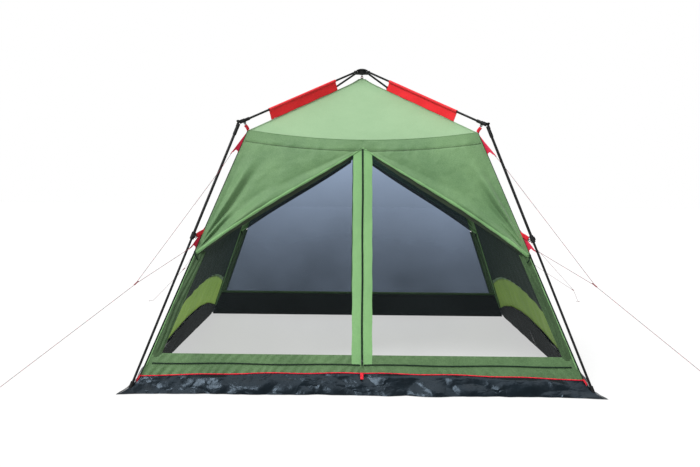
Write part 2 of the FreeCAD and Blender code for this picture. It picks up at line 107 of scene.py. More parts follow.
class Side(Enum):
    """Walls of the tent by the turn of their outward direction about Z, in degrees."""

    FRONT = 270.0
    RIGHT = 0.0
    REAR = 90.0
    LEFT = 180.0

    @property
    def is_door(self) -> bool:
        """Whether this wall is a door wall."""
        return self in (Side.FRONT, Side.REAR)

    @property
    def label(self) -> str:
        """Name used by the wall's nodes."""
        return self.name.lower()

    @property
    def outward(self) -> Vector:
        """Level direction out of the wall."""
        angle = math.radians(self.value)
        return Vector((math.cos(angle), math.sin(angle), 0))


class Corner(Enum):
    """Corners of the tent by the turn of their diagonal about Z, in degrees."""

    FRONT_LEFT = 225.0
    FRONT_RIGHT = 315.0
    REAR_RIGHT = 45.0
    REAR_LEFT = 135.0

    @property
    def label(self) -> str:
        """Name used by the frame's bodies and nodes."""
        return self.name.lower()

    @property
    def walls(self) -> List[Tuple[Side, int]]:
        """The two walls that meet here, each with the hand of its half."""
        found = []
        for side in Side:
            angle = math.radians(self.value - side.value)
            if math.cos(angle) > 0.5:
                found.append((side, 1 if math.sin(angle) > 0 else -1))
        return found


def half_width(z: float) -> float:
    """Half width of the canopy at a height."""
    return WALL_FOOT - WALL_FALL * (z - WALL_FOOT_Z)


def on_wall(side: Side, along: float, z: float, out: float = 0.0) -> Vector:
    """Point of a wall's plane, moved level outward.

    Args:
        side: the wall.
        along: level distance from the wall's middle.
        z: height.
        out: distance outside the wall's plane.

    Returns:
        The point in the tent's frame.
    """
    angle = math.radians(side.value)
    reach = half_width(z) + out
    return Vector((reach * math.cos(angle) - along * math.sin(angle),
                   reach * math.sin(angle) + along * math.cos(angle), z))


def along_wall(side: Side) -> Vector:
    """Level direction along a wall."""
    return on_wall(side, 1.0, 1.0) - on_wall(side, 0.0, 1.0)


def up_wall(side: Side) -> Vector:
    """Direction up a wall in its leaning plane."""
    return (on_wall(side, 0.0, 1.0) - on_wall(side, 0.0, 0.0)).normalized()


def tag_of(side: Side, corner: Corner) -> str:
    """Name of the half of a wall that ends at a corner."""
    return "%s_%s" % (side.label, corner.label)


def on_diagonal(corner: Corner, r: float, z: float, t: float = 0.0) -> Vector:
    """Point of a corner's upright diagonal plane, with a sideways shift t."""
    angle = math.radians(corner.value)
    return Vector((r * math.cos(angle) - t * math.sin(angle),
                   r * math.sin(angle) + t * math.cos(angle), z))


def edge_r(z: float) -> float:
    """Distance of the canopy's corner edge from the tent's axis."""
    return half_width(z) * math.sqrt(2)


def eave_z(along: float) -> float:
    """Height of the sagging eave seam."""
    return EAVE_MID_Z + (EAVE_CORNER_Z - EAVE_MID_Z) * (along / ROOF_CORNER) ** 2


def hem_z(side: Side, share: float) -> float:
    """Height of the hem at a share of the way from the wall's middle to its corner."""
    middle = {Side.FRONT: 0.118, Side.REAR: 0.167}.get(side, 0.270)
    wave = 0.0025 * math.sin(19 * share + side.value) * (1 - share ** 4)
    return WALL_FOOT_Z + (middle - WALL_FOOT_Z) * (1 - share ** 2) + wave


def smooth(value: float) -> float:
    """Smooth step from 0 to 1."""
    value = min(1.0, max(0.0, value))
    return value * value * (3 - 2 * value)


def crease(point: Vector, scale: float, seed: float = 0.0) -> float:
    """Soft fold noise from about -1 to 1 at a scale in folds per metre."""
    return noise.noise(point * scale + Vector((seed, 1.7 * seed, -seed)))


# ------------------------------------------------------------------ finishes

def linear(code: str) -> Tuple[float, float, float, float]:
    """Turn an sRGB hex colour into linear RGBA."""
    values = []
    for start in (0, 2, 4):
        part = int(code[start:start + 2], 16) / 255
        values.append(part / 12.92 if part <= 0.04045 else ((part + 0.055) / 1.055) ** 2.4)
    return (values[0], values[1], values[2], 1.0)


def add(tree: bpy.types.NodeTree, kind: str, inputs: Dict = None, **settings) -> bpy.types.Node:
    """Add one shader node with its settings, values and links.

    Args:
        tree: node tree to add to.
        kind: node type.
        inputs: socket name or number to a value or to the output socket that feeds it.
        settings: attributes set on the node.

    Returns:
        The new node.
    """
    item = tree.nodes.new(kind)
    for name, value in settings.items():
        setattr(item, name, value)
    for key, value in (inputs or {}).items():
        if isinstance(value, bpy.types.NodeSocket):
            tree.links.new(value, item.inputs[key])
        else:
            item.inputs[key].default_value = value
    return item


def started(name: str) -> Tuple[bpy.types.Material, bpy.types.NodeTree]:
    """New empty node material and its tree."""
    material = bpy.data.materials.new(name)
    material.use_nodes = True
    material.node_tree.nodes.clear()
    return material, material.node_tree


def finished(tree: bpy.types.NodeTree, surface: bpy.types.NodeSocket) -> None:
    """Connect a surface to the material's output."""
    add(tree, "ShaderNodeOutputMaterial", {"Surface": surface})


@dataclass(frozen=True)
class WovenCloth:
    """Coated plain-weave cloth: colour drift, fine creases, woven threads and a little glow."""

    name: str
    light: str
    deep: str
    roughness: float = 0.62
    crease_mm: float = 70.0
    crease_depth: float = 0.004
    thread_mm: float = 1.6
    thread_depth: float = 0.00025
    glow: float = 0.10
    sheen: float = 0.15
    specular: float = 0.35

    def build(self) -> bpy.types.Material:
        """Make the material."""
        material, tree = started(self.name)
        place = add(tree, "ShaderNodeTexCoord").outputs
        drift = add(tree, "ShaderNodeTexNoise",
                    {"Vector": place["Object"], "Scale": 3.0, "Detail": 4.0, "Roughness": 0.6})
        fleck = add(tree, "ShaderNodeTexNoise",
                    {"Vector": place["Object"], "Scale": 220.0, "Detail": 2.0})
        blend = add(tree, "ShaderNodeMath", {0: drift.outputs["Fac"], 1: fleck.outputs["Fac"]},
                    operation="ADD")
        tone = add(tree, "ShaderNodeMapRange",
                   {"Value": blend.outputs[0], "From Min": 0.75, "From Max": 1.25})
        colour = add(tree, "ShaderNodeMix",
                     {0: tone.outputs[0], 6: linear(self.deep), 7: linear(self.light)},
                     data_type="RGBA")
        folds = add(tree, "ShaderNodeTexNoise",
                    {"Vector": place["Object"], "Scale": 1000.0 / self.crease_mm, "Detail": 5.0,
                     "Roughness": 0.55, "Distortion": 0.8})
        soft = add(tree, "ShaderNodeBump",
                   {"Height": folds.outputs["Fac"], "Strength": 0.55,
                    "Distance": self.crease_depth})
        pitch = math.pi / (self.thread_mm / 1000.0) / 20.0 * 2
        warp = add(tree, "ShaderNodeTexWave", {"Vector": place["UV"], "Scale": pitch},
                   bands_direction="X")
        weft = add(tree, "ShaderNodeTexWave", {"Vector": place["UV"], "Scale": pitch},
                   bands_direction="Y")
        weave = add(tree, "ShaderNodeMath",
                    {0: warp.outputs["Fac"], 1: weft.outputs["Fac"]}, operation="MULTIPLY")
        fine = add(tree, "ShaderNodeBump",
                   {"Height": weave.outputs[0], "Normal": soft.outputs[0], "Strength": 0.5,
                    "Distance": self.thread_depth})
        rough = add(tree, "ShaderNodeMapRange",
                    {"Value": drift.outputs["Fac"], "To Min": self.roughness - 0.07,
                     "To Max": self.roughness + 0.08})
        face = add(tree, "ShaderNodeBsdfPrincipled",
                   {"Base Color": colour.outputs[2], "Roughness": rough.outputs[0],
                    "Normal": fine.outputs[0], "Sheen Weight": self.sheen,
                    "Specular IOR Level": self.specular})
        through = add(tree, "ShaderNodeBsdfTranslucent",
                      {"Color": colour.outputs[2], "Normal": soft.outputs[0]})
        both = add(tree, "ShaderNodeMixShader",
                   {0: self.glow, 1: face.outputs[0], 2: through.outputs[0]})
        finished(tree, both.outputs[0])
        return material


@dataclass(frozen=True)
class InsectMesh:
    """Knitted insect mesh: its holes shown as a see-through share that can change with height, its
    threads dark; a share graded with height and a tinted see-through colour are painted light.
    """

    name: str
    thread: str
    cover_low: float
    cover_high: float
    z_low: float = 0.25
    z_high: float = 1.45
    air: str = "FFFFFF"
    glint: str = "3A444C"

    def build(self) -> bpy.types.Material:
        """Make the material."""
        material, tree = started(self.name)
        place = add(tree, "ShaderNodeTexCoord").outputs
        split = add(tree, "ShaderNodeSeparateXYZ", {0: place["Object"]})
        # the thread share changes with height; on the rear door this grading is painted light,
        # lighter at the top
        level = add(tree, "ShaderNodeMapRange",
                    {"Value": split.outputs[2], "From Min": self.z_low, "From Max": self.z_high})
        rise = add(tree, "ShaderNodeMath", {0: level.outputs[0], 1: 1.7}, operation="POWER")
        cover = add(tree, "ShaderNodeMapRange",
                    {"Value": rise.outputs[0], "To Min": self.cover_low,
                     "To Max": self.cover_high})
        slack = add(tree, "ShaderNodeTexNoise",
                    {"Vector": place["Object"], "Scale": 1.6, "Detail": 3.0})
        uneven = add(tree, "ShaderNodeMapRange",
                     {"Value": slack.outputs["Fac"], "From Min": 0.3, "From Max": 0.7,
                      "To Min": -0.03, "To Max": 0.03})
        share = add(tree, "ShaderNodeMath", {0: cover.outputs[0], 1: uneven.outputs[0]},
                    operation="ADD", use_clamp=True)
        knit = add(tree, "ShaderNodeTexVoronoi", {"Vector": place["Object"], "Scale": 420.0})
        bump = add(tree, "ShaderNodeBump",
                   {"Height": knit.outputs["Distance"], "Strength": 0.3, "Distance": 0.0004})
        tint = add(tree, "ShaderNodeMix",
                   {0: knit.outputs["Distance"], 6: linear(self.thread), 7: linear(self.glint)},
                   data_type="RGBA")
        thread = add(tree, "ShaderNodeBsdfPrincipled",
                     {"Base Color": tint.outputs[2], "Roughness": 0.8,
                      "Normal": bump.outputs[0], "Specular IOR Level": 0.2})
        # the see-through colour tints what shows through; on the rear door its blue is painted
        # light
        clear = add(tree, "ShaderNodeBsdfTransparent", {"Color": linear(self.air)})
        both = add(tree, "ShaderNodeMixShader",
                   {0: share.outputs[0], 1: clear.outputs[0], 2: thread.outputs[0]})
        finished(tree, both.outputs[0])
        return material


@dataclass(frozen=True)
class CrinkledFilm:
    """Black polyethylene film, blown and creased: glossy facets broken by sharp crumple lines."""

    name: str = "polyethylene_film_black"

    def build(self) -> bpy.types.Material:
        """Make the material."""
        material, tree = started(self.name)
        place = add(tree, "ShaderNodeTexCoord").outputs
        warp = add(tree, "ShaderNodeTexNoise",
                   {"Vector": place["Object"], "Scale": 6.0, "Detail": 3.0})
        bent = add(tree, "ShaderNodeMix", {0: 0.18, 4: place["Object"], 5: warp.outputs["Color"]},
                   data_type="VECTOR")
        drawn = add(tree, "ShaderNodeMapping",
                    {"Vector": bent.outputs[1], "Rotation": (0.45, 0.45, 0.0),
                     "Scale": (0.55, 0.55, 1.5)})
        facets = add(tree, "ShaderNodeTexVoronoi",
                     {"Vector": drawn.outputs[0], "Scale": 10.0}, feature="DISTANCE_TO_EDGE")
        small = add(tree, "ShaderNodeTexVoronoi",
                    {"Vector": drawn.outputs[0], "Scale": 26.0}, feature="DISTANCE_TO_EDGE")
        ripple = add(tree, "ShaderNodeTexNoise",
                     {"Vector": place["Object"], "Scale": 12.0, "Detail": 3.0, "Roughness": 0.45})
        first = add(tree, "ShaderNodeBump",
                    {"Height": facets.outputs["Distance"], "Strength": 0.50, "Distance": 0.02})
        second = add(tree, "ShaderNodeBump",
                     {"Height": small.outputs["Distance"], "Normal": first.outputs[0],
                      "Strength": 0.22, "Distance": 0.006})
        third = add(tree, "ShaderNodeBump",
                    {"Height": ripple.outputs["Fac"], "Normal": second.outputs[0],
                     "Strength": 0.35, "Distance": 0.008})
        tint = add(tree, "ShaderNodeMix",
                   {0: ripple.outputs["Fac"], 6: linear("06090B"), 7: linear("111A20")},
                   data_type="RGBA")
        rough = add(tree, "ShaderNodeMapRange",
                    {"Value": warp.outputs["Fac"], "To Min": 0.20, "To Max": 0.38})
        # the cool blue Specular Tint is a painted reflection: it colours the film's highlights
        # blue
        face = add(tree, "ShaderNodeBsdfPrincipled",
                   {"Base Color": tint.outputs[2], "Roughness": rough.outputs[0],
                    "Normal": third.outputs[0], "Specular IOR Level": 0.24,
                    "Specular Tint": linear("C4DCF2")})
        finished(tree, face.outputs[0])
        return material


@dataclass(frozen=True)
class RibbedBand:
    """Woven webbing or cord sheath: ribs along its length, with flecks of a second yarn."""

    name: str
    colour: str
    fleck: str
    rib_mm: float = 2.2
    fleck_share: float = 0.35
    roughness: float = 0.7

    def build(self) -> bpy.types.Material:
        """Make the material."""
        material, tree = started(self.name)
        place = add(tree, "ShaderNodeTexCoord").outputs
        pitch = math.pi / (self.rib_mm / 1000.0) / 20.0 * 2
        ribs = add(tree, "ShaderNodeTexWave",
                   {"Vector": place["UV"], "Scale": pitch, "Distortion": 0.6,
                    "Detail Scale": 2.0}, bands_direction="DIAGONAL")
        grain = add(tree, "ShaderNodeTexNoise",
                    {"Vector": place["Object"], "Scale": 90.0, "Detail": 2.0})
        mask = add(tree, "ShaderNodeMapRange",
                   {"Value": grain.outputs["Fac"], "From Min": 1.0 - self.fleck_share - 0.2,
                    "From Max": 1.0 - self.fleck_share + 0.05})
        tint = add(tree, "ShaderNodeMix",
                   {0: mask.outputs[0], 6: linear(self.colour), 7: linear(self.fleck)},
                   data_type="RGBA")
        bump = add(tree, "ShaderNodeBump",
                   {"Height": ribs.outputs["Fac"], "Strength": 0.5, "Distance": 0.0006})
        face = add(tree, "ShaderNodeBsdfPrincipled",
                   {"Base Color": tint.outputs[2], "Roughness": self.roughness,
                    "Normal": bump.outputs[0], "Specular IOR Level": 0.2})
        finished(tree, face.outputs[0])
        return material


@dataclass(frozen=True)
class HardFinish:
    """Painted, moulded or bare hard surface: fine grain, faint wear and uneven gloss."""

    name: str
    colour: str
    worn: str
    roughness: float
    metallic: float = 0.0
    grain_mm: float = 1.2
    grain_depth: float = 0.0001
    specular: float = 0.5

    def build(self) -> bpy.types.Material:
        """Make the material."""
        material, tree = started(self.name)
        place = add(tree, "ShaderNodeTexCoord").outputs
        grain = add(tree, "ShaderNodeTexNoise",
                    {"Vector": place["Object"], "Scale": 1000.0 / self.grain_mm, "Detail": 2.0})
        wear = add(tree, "ShaderNodeTexNoise",
                   {"Vector": place["Object"], "Scale": 26.0, "Detail": 6.0, "Roughness": 0.65})
        mask = add(tree, "ShaderNodeMapRange",
                   {"Value": wear.outputs["Fac"], "From Min": 0.5, "From Max": 0.72})
        tint = add(tree, "ShaderNodeMix",
                   {0: mask.outputs[0], 6: linear(self.colour), 7: linear(self.worn)},
                   data_type="RGBA")
        rough = add(tree, "ShaderNodeMapRange",
                    {"Value": wear.outputs["Fac"], "To Min": self.roughness - 0.08,
                     "To Max": self.roughness + 0.12})
        bump = add(tree, "ShaderNodeBump",
                   {"Height": grain.outputs["Fac"], "Strength": 0.35,
                    "Distance": self.grain_depth})
        face = add(tree, "ShaderNodeBsdfPrincipled",
                   {"Base Color": tint.outputs[2], "Roughness": rough.outputs[0],
                    "Metallic": self.metallic, "Normal": bump.outputs[0],
                    "Specular IOR Level": self.specular})
        finished(tree, face.outputs[0])
        return material


def made(finish: object) -> bpy.types.Material:
    """Field that holds a finish's material, built together with the set of finishes."""
    return field(default_factory=finish.build)


@dataclass
class Finishes:
    """All materials of the tent, made once."""

    # thin polyester taffeta that lets some light through on the roof, painted a lighter green than
    # the walls' copy as painted light from above
    roof: bpy.types.Material = made(WovenCloth(
        "polyester_taffeta_roof", "92B38A", "86A87F", glow=0.22, crease_depth=0.002,
        crease_mm=120.0))
    # the same taffeta painted a deeper green, as painted shade on the walls, softly creased
    wall: bpy.types.Material = made(WovenCloth(
        "polyester_taffeta_wall", "6B8E60", "50744A", glow=0.08, crease_depth=0.004))
    # folded under side of the tied flaps, a dark green drawn as painted shade beneath the flaps'
    # rolled edges
    under_shade: bpy.types.Material = made(WovenCloth(
        "proofed_taffeta_under_side", "25381D", "141F10", glow=0.02))
    # light strips beside the zips and along the door edges
    strip: bpy.types.Material = made(WovenCloth(
        "polyester_taffeta_strip", "80B072", "709E66", glow=0.18, crease_mm=30.0,
        crease_depth=0.0025))
    # the corner strips in a deeper green, painted shade on the strip's shadowed side, with soft
    # folds
    seam: bpy.types.Material = made(WovenCloth(
        "polyester_taffeta_seam", "3C5A33", "223A1C", glow=0.04, crease_mm=35.0,
        crease_depth=0.004))
    # bottom border in mid green with short puckers
    border: bpy.types.Material = made(WovenCloth(
        "polyester_taffeta_border", "5B7B50", "3A5833", glow=0.06, crease_mm=40.0,
        crease_depth=0.005))
    # thin translucent border at the foot of the side walls
    leaf: bpy.types.Material = made(WovenCloth(
        "polyester_taffeta_side_border", "7F9E48", "6A8A3A", glow=0.50,
        crease_depth=0.003))
    # see-through knitted mesh of the front door
    mesh: bpy.types.Material = made(InsectMesh(
        "insect_mesh_door", "2A332F", 0.11, 0.11))
    # rear door mesh, denser than the front's, its see-through share growing with height and its
    # see-through colour cool blue: painted light, a brighter top and bluish cast
    window: bpy.types.Material = made(InsectMesh(
        "insect_mesh_rear", "2C3342", 0.915, 0.51, air="C8DEFF"))
    # mesh inside the closed side windows, drawn near-opaque and dark green as painted shade inside
    # the side walls
    shade_mesh: bpy.types.Material = made(InsectMesh(
        "insect_mesh_side", "1A2820", 0.97, 0.97, glint="24342B"))
    # black cloth facing inside the rear wall, under the mesh
    lining: bpy.types.Material = made(WovenCloth(
        "polyethylene_cloth_black", "070D0B", "040706", glow=0.0, crease_mm=90.0,
        crease_depth=0.006, sheen=0.0, specular=0.10, roughness=0.75))
    # black blown film of the skirt, with glossy facets along sharp crumples
    film: bpy.types.Material = made(CrinkledFilm())
    # bright red taffeta of the sleeves on the arms
    sleeve: bpy.types.Material = made(WovenCloth(
        "polyester_taffeta_red", "FF3C46", "F4303A", glow=0.38, crease_mm=40.0,
        crease_depth=0.0015, sheen=0.0))
    # deeper red cloth of the corner gussets
    gusset: bpy.types.Material = made(WovenCloth(
        "polyester_oxford_crimson", "E42C52", "D02446", glow=0.26, crease_mm=25.0,
        crease_depth=0.0015, thread_mm=2.0, sheen=0.0))
    # red woven webbing with diagonal ribs
    webbing: bpy.types.Material = made(RibbedBand(
        "nylon_webbing_red", "D42434", "A81A2A"))
    # deeper red cord of the hem, a thin bright line between green and black
    piping: bpy.types.Material = made(RibbedBand(
        "woven_piping_red", "D8203A", "A81428", rib_mm=3.0))
    # dark green woven zip tape and binding
    tape: bpy.types.Material = made(RibbedBand(
        "woven_tape_dark_green", "10271A", "0A1A10"))
    # small dark green coils that break up the zip's line
    coil: bpy.types.Material = made(HardFinish(
        "nylon_zip_coil", "0B2015", "15301F", 0.4, specular=0.2))
    # grey braided cord with flecks of red yarn
    braid: bpy.types.Material = made(RibbedBand(
        "braided_cord_grey", "454246", "9A2C38", rib_mm=2.8, fleck_share=0.4))
    # black powder coat on steel tube, faintly pebbled
    steel: bpy.types.Material = made(HardFinish(
        "powder_coated_steel_black", "0B0C0E", "16181B", 0.42, grain_depth=0.00015,
        specular=0.25))
    # moulded nylon fittings with a spark-eroded grain
    nylon: bpy.types.Material = made(HardFinish(
        "moulded_nylon_black", "0A0B0D", "131518", 0.55, specular=0.25))
    # smooth dark grey button that reads lighter than its collar
    acetal: bpy.types.Material = made(HardFinish(
        "moulded_acetal_button", "22252A", "33373C", 0.3))
    # bright zinc of the hub's pins, the only bare metal
    rivet: bpy.types.Material = made(HardFinish(
        "zinc_plated_steel", "A9ABAE", "8A8C90", 0.35, 1.0))
    # dark green enamelled slider with a soft gloss
    enamel: bpy.types.Material = made(HardFinish(
        "enamelled_zinc_slider", "15251B", "2A3A30", 0.35))
    # dark red moulded plate where the cords meet
    runner: bpy.types.Material = made(HardFinish(
        "moulded_nylon_dark_red", "7A1420", "8E2430", 0.4))


# ------------------------------------------------------------------ mesh helpers

def shown(name: str, mesh: bmesh.types.BMesh, material: bpy.types.Material) -> bpy.types.Object:
    """Turn a finished bmesh into a smooth object at the origin.

    Args:
        name: name of the new object.
        mesh: finished bmesh, freed here.
        material: its finish.

    Returns:
        The linked object.
    """
    for face in mesh.faces:
        face.smooth = True
    data = bpy.data.meshes.new(name)
    mesh.to_mesh(data)
    mesh.free()
    data.materials.append(material)
    item = bpy.data.objects.new(name, data)
    bpy.context.scene.collection.objects.link(item)
    return item


def cloth(name: str, columns: int, rows: int, place: Place, material: bpy.types.Material,
          outward: Vector, thickness: float = 0.0) -> bpy.types.Object:
    """Curved sheet laid over a rule that gives each point of a unit square its place.

    Args:
        name: name of the new object.
        columns: cells across.
        rows: cells up.
        place: rule from (u, v) to a point and its flat position in metres.
        material: finish of the cloth.
        outward: direction its face looks.
        thickness: wall given by a Solidify modifier, or 0 for a single layer.

    Returns:
        The sheet.
    """
    mesh = bmesh.new()
    bmesh.ops.create_grid(mesh, x_segments=columns, y_segments=rows, size=0.5)
    layer = mesh.loops.layers.uv.new("cloth")
    flat = {}
    for vert in mesh.verts:
        point, spot = place(vert.co.x + 0.5, vert.co.y + 0.5)
        flat[vert] = spot
        vert.co = point
    for face in mesh.faces:
        for loop in face.loops:
            loop[layer].uv = flat[loop.vert]
    bmesh.ops.remove_doubles(mesh, verts=mesh.verts, dist=0.00005)
    total = Vector((0, 0, 0))
    for face in mesh.faces:
        face.normal_update()
        total += face.normal * face.calc_area()
    if total.dot(outward) < 0:
        bmesh.ops.reverse_faces(mesh, faces=mesh.faces)
    item = shown(name, mesh, material)
    if thickness:
        solid = item.modifiers.new("thickness", "SOLIDIFY")
        solid.thickness = thickness
        solid.offset = 0.0
    return item


def tube_along(name: str, points: Sequence[Vector], radius: Callable[[float], float],
               material: bpy.types.Material, sides: int = 10) -> bpy.types.Object:
    """Closed round tube along a line of points, with capped ends and a lengthwise UV.

    Args:
        name: name of the new object.
        points: centre line, close enough together to look smooth.
        radius: radius at a share of the way along.
        material: finish of the tube.
        sides: faces round the tube.

    Returns:
        The tube.
    """
    frames = []
    side = None
    run = 0.0
    for index, point in enumerate(points):
        ahead = points[min(index + 1, len(points) - 1)]
        behind = points[max(index - 1, 0)]
        heading = (ahead - behind).normalized()
        side = heading.orthogonal().normalized() if side is None else side
        side = (side - heading * side.dot(heading)).normalized()
        run += (point - behind).length if index else 0.0
        frames.append((point, side, heading.cross(side), run,
                       radius(index / (len(points) - 1))))
    mesh = bmesh.new()
    bmesh.ops.create_grid(mesh, x_segments=len(points) - 1, y_segments=sides, size=0.5)
    layer = mesh.loops.layers.uv.new("cloth")
    flat = {}
    for vert in mesh.verts:
        point, side, other, run, size = frames[round((vert.co.x + 0.5) * (len(points) - 1))]
        share = vert.co.y + 0.5
        flat[vert] = (run, share * math.tau * size)
        angle = math.tau * share
        vert.co = point + (side * math.cos(angle) + other * math.sin(angle)) * size
    for face in mesh.faces:
        for loop in face.loops:
            loop[layer].uv = flat[loop.vert]
    bmesh.ops.remove_doubles(mesh, verts=mesh.verts, dist=0.00001)
    bmesh.ops.holes_fill(mesh, edges=[edge for edge in mesh.edges if edge.is_boundary], sides=0)
    bmesh.ops.recalc_face_normals(mesh, faces=mesh.faces)
    return shown(name, mesh, material)


def ribbon(name: str, points: Sequence[Vector], across: Vector, width: float, thickness: float,
           material: bpy.types.Material, outward: Vector) -> bpy.types.Object:
    """Flat band of webbing along a line of points.

    Args:
        name: name of the new object.
        points: middle line of the band.
        across: direction of its width.
        width: width of the band.
        thickness: its thickness.
        material: its finish.
        outward: direction its face looks.

    Returns:
        The band.
    """
    lengths = [0.0]
    for first, second in zip(points, points[1:]):
        lengths.append(lengths[-1] + (second - first).length)

    def place(u: float, v: float) -> Spot:
        spot = u * (len(points) - 1)
        index = min(int(spot + 1e-6), len(points) - 2)
        share = spot - index
        point = points[index].lerp(points[index + 1], share)
        run = lengths[index] + (lengths[index + 1] - lengths[index]) * share
        return point + across * ((v - 0.5) * width), (run, v * width)

    return cloth(name, len(points) - 1, 4, place, material, outward, thickness)


def rounded_box(mesh: bmesh.types.BMesh, size: Sequence[float], place: Matrix,
                edge: float = 0.0008) -> None:
    """Add a box with bevelled edges to a bmesh.

    Args:
        mesh: bmesh to add to.
        size: its three sizes.
        place: where it goes.
        edge: width of the bevel.
    """
    made = bmesh.ops.create_cube(mesh, size=1.0)
    verts = made["verts"]
    bmesh.ops.scale(mesh, vec=Vector(size), verts=verts)
    edges = {side for vert in verts for side in vert.link_edges}
    done = bmesh.ops.bevel(mesh, geom=list(edges), offset=edge, offset_type="OFFSET", segments=2,
                           profile=0.5, affect="EDGES", clamp_overlap=True, material=-1)
    moved = set(done["verts"]) | {vert for vert in verts if vert.is_valid}
    bmesh.ops.transform(mesh, matrix=place, verts=list(moved))


# ------------------------------------------------------------------ how pieces follow the frame

def flatten_to_edge(item: bpy.types.Object) -> None:
    """Give a wall piece its own copy of its mesh."""
    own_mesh(item)


def ride_wall(item: bpy.types.Object, corner: Corner, body: str = "") -> None:
    """Let a wall piece follow a corner's upper leg, with its own copy of its mesh."""
    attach(item, body or "upper_leg_%s" % corner.label)
    flatten_to_edge(item)


def hang(item: bpy.types.Object, corner: Corner, body: str = "") -> None:
    """Let a wall piece follow the frame."""
    ride_wall(item, corner, body)


def hang_sheet(item: bpy.types.Object,
               corner: Corner) -> None:
    """Let a wall sheet follow the frame."""
    ride_wall(item, corner)


def ride_roof(item: bpy.types.Object, corner: Corner) -> None:
    """Let a roof piece follow a corner's arm, with its own copy of its mesh."""
    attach(item, "arm_%s" % corner.label)
    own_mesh(item)


# ------------------------------------------------------------------ canopy

@dataclass
class Roof:
    """Eight roof halves hung under the arms, with hip seams."""

    finishes: Finishes
    sag: float = 0.012
    seam_width: float = 0.014

    def surface(self, side: Side, hand: int, p: float, q: float, lift: float = 0.0) -> Vector:
        """Point of the roof.

        Args:
            side: wall under this roof face.
            hand: which half of the face.
            p: share of the way from the apex to the eave.
            q: share of the way from the middle to the hip.
            lift: distance above the cloth.

        Returns:
            The point in the tent's frame.
        """
        along = ROOF_CORNER * q
        eave = on_wall(side, hand * along, eave_z(along))
        point = Vector((0, 0, ROOF_APEX_Z)).lerp(eave, p)
        hollow = self.sag * math.sin(math.pi * p) * (1 - q * q)
        ripple = 0.0022 * crease(point, 7.0) * (1 - q) * math.sin(math.pi * p)
        tug = 0.004 * math.exp(-((1 - q) * 9) ** 2) * crease(point, 16.0) * p
        peak = 0.012 * math.exp(-(p * 16) ** 2)
        return point + Vector((0, 0, lift + peak - hollow + ripple + tug * (1 - q)))

    def build(self) -> None:
        """Make the roof halves and their seams."""
        for corner in Corner:
            for side, hand in corner.walls:
                name = "roof_%s_%s" % (side.label, corner.label)

                def place(u: float, v: float, side: Side = side, hand: int = hand) -> Spot:
                    point = self.surface(side, hand, v, u)
                    return point, (hand * u * v * ROOF_CORNER, v * 1.04)

                half = cloth(name, 44, 56, place, self.finishes.roof, Vector((0, 0, 1)))
                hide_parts("roof_panels")
                ride_roof(half, corner)
                seam = [self.surface(side, hand, v / 40, 0.992, 0.0016) for v in range(1, 41)]
                across = on_wall(side, 1.0, 1.0) - on_wall(side, 0.0, 1.0)
                band = ribbon("hip_seam_" + name, seam, across.normalized(), self.seam_width,
                              0.0008, self.finishes.roof, Vector((0, 0, 1)))
                ride_roof(band, corner)
        LOG.info("roof: eight halves with hip seams")


def build_facing(side: Side, hand: int, corner: Corner, finishes: Finishes,
                 top: Callable[[float], float]) -> None:
    """Make the black facing inside the foot of one wall half, down to the ground.

    Args:
        side: the wall.
        hand: which half of it.
        corner: the corner it hangs from.
        finishes: materials of the tent.
        top: height of its upper edge at a share of the way to the corner.
    """
    angle = math.radians(side.value)

    def place(u: float, v: float) -> Spot:
        high = top(u)
        z = 0.004 + (high - 0.004) * v
        inner = half_width(high) - 0.020
        reach = 1.460 + (inner - 1.460) * v + 0.003 * crease(Vector((u * 1.4, z, hand)), 6.0)
        return on_wall(side, hand * reach * u * 0.992, z, reach - half_width(z)), (u * 1.4, z)

    item = cloth("inner_facing_%s_%s" % (side.label, corner.label), 60, 12, place,
                 finishes.lining, Vector((-math.cos(angle), -math.sin(angle), 0)))
    ride_wall(item, corner)


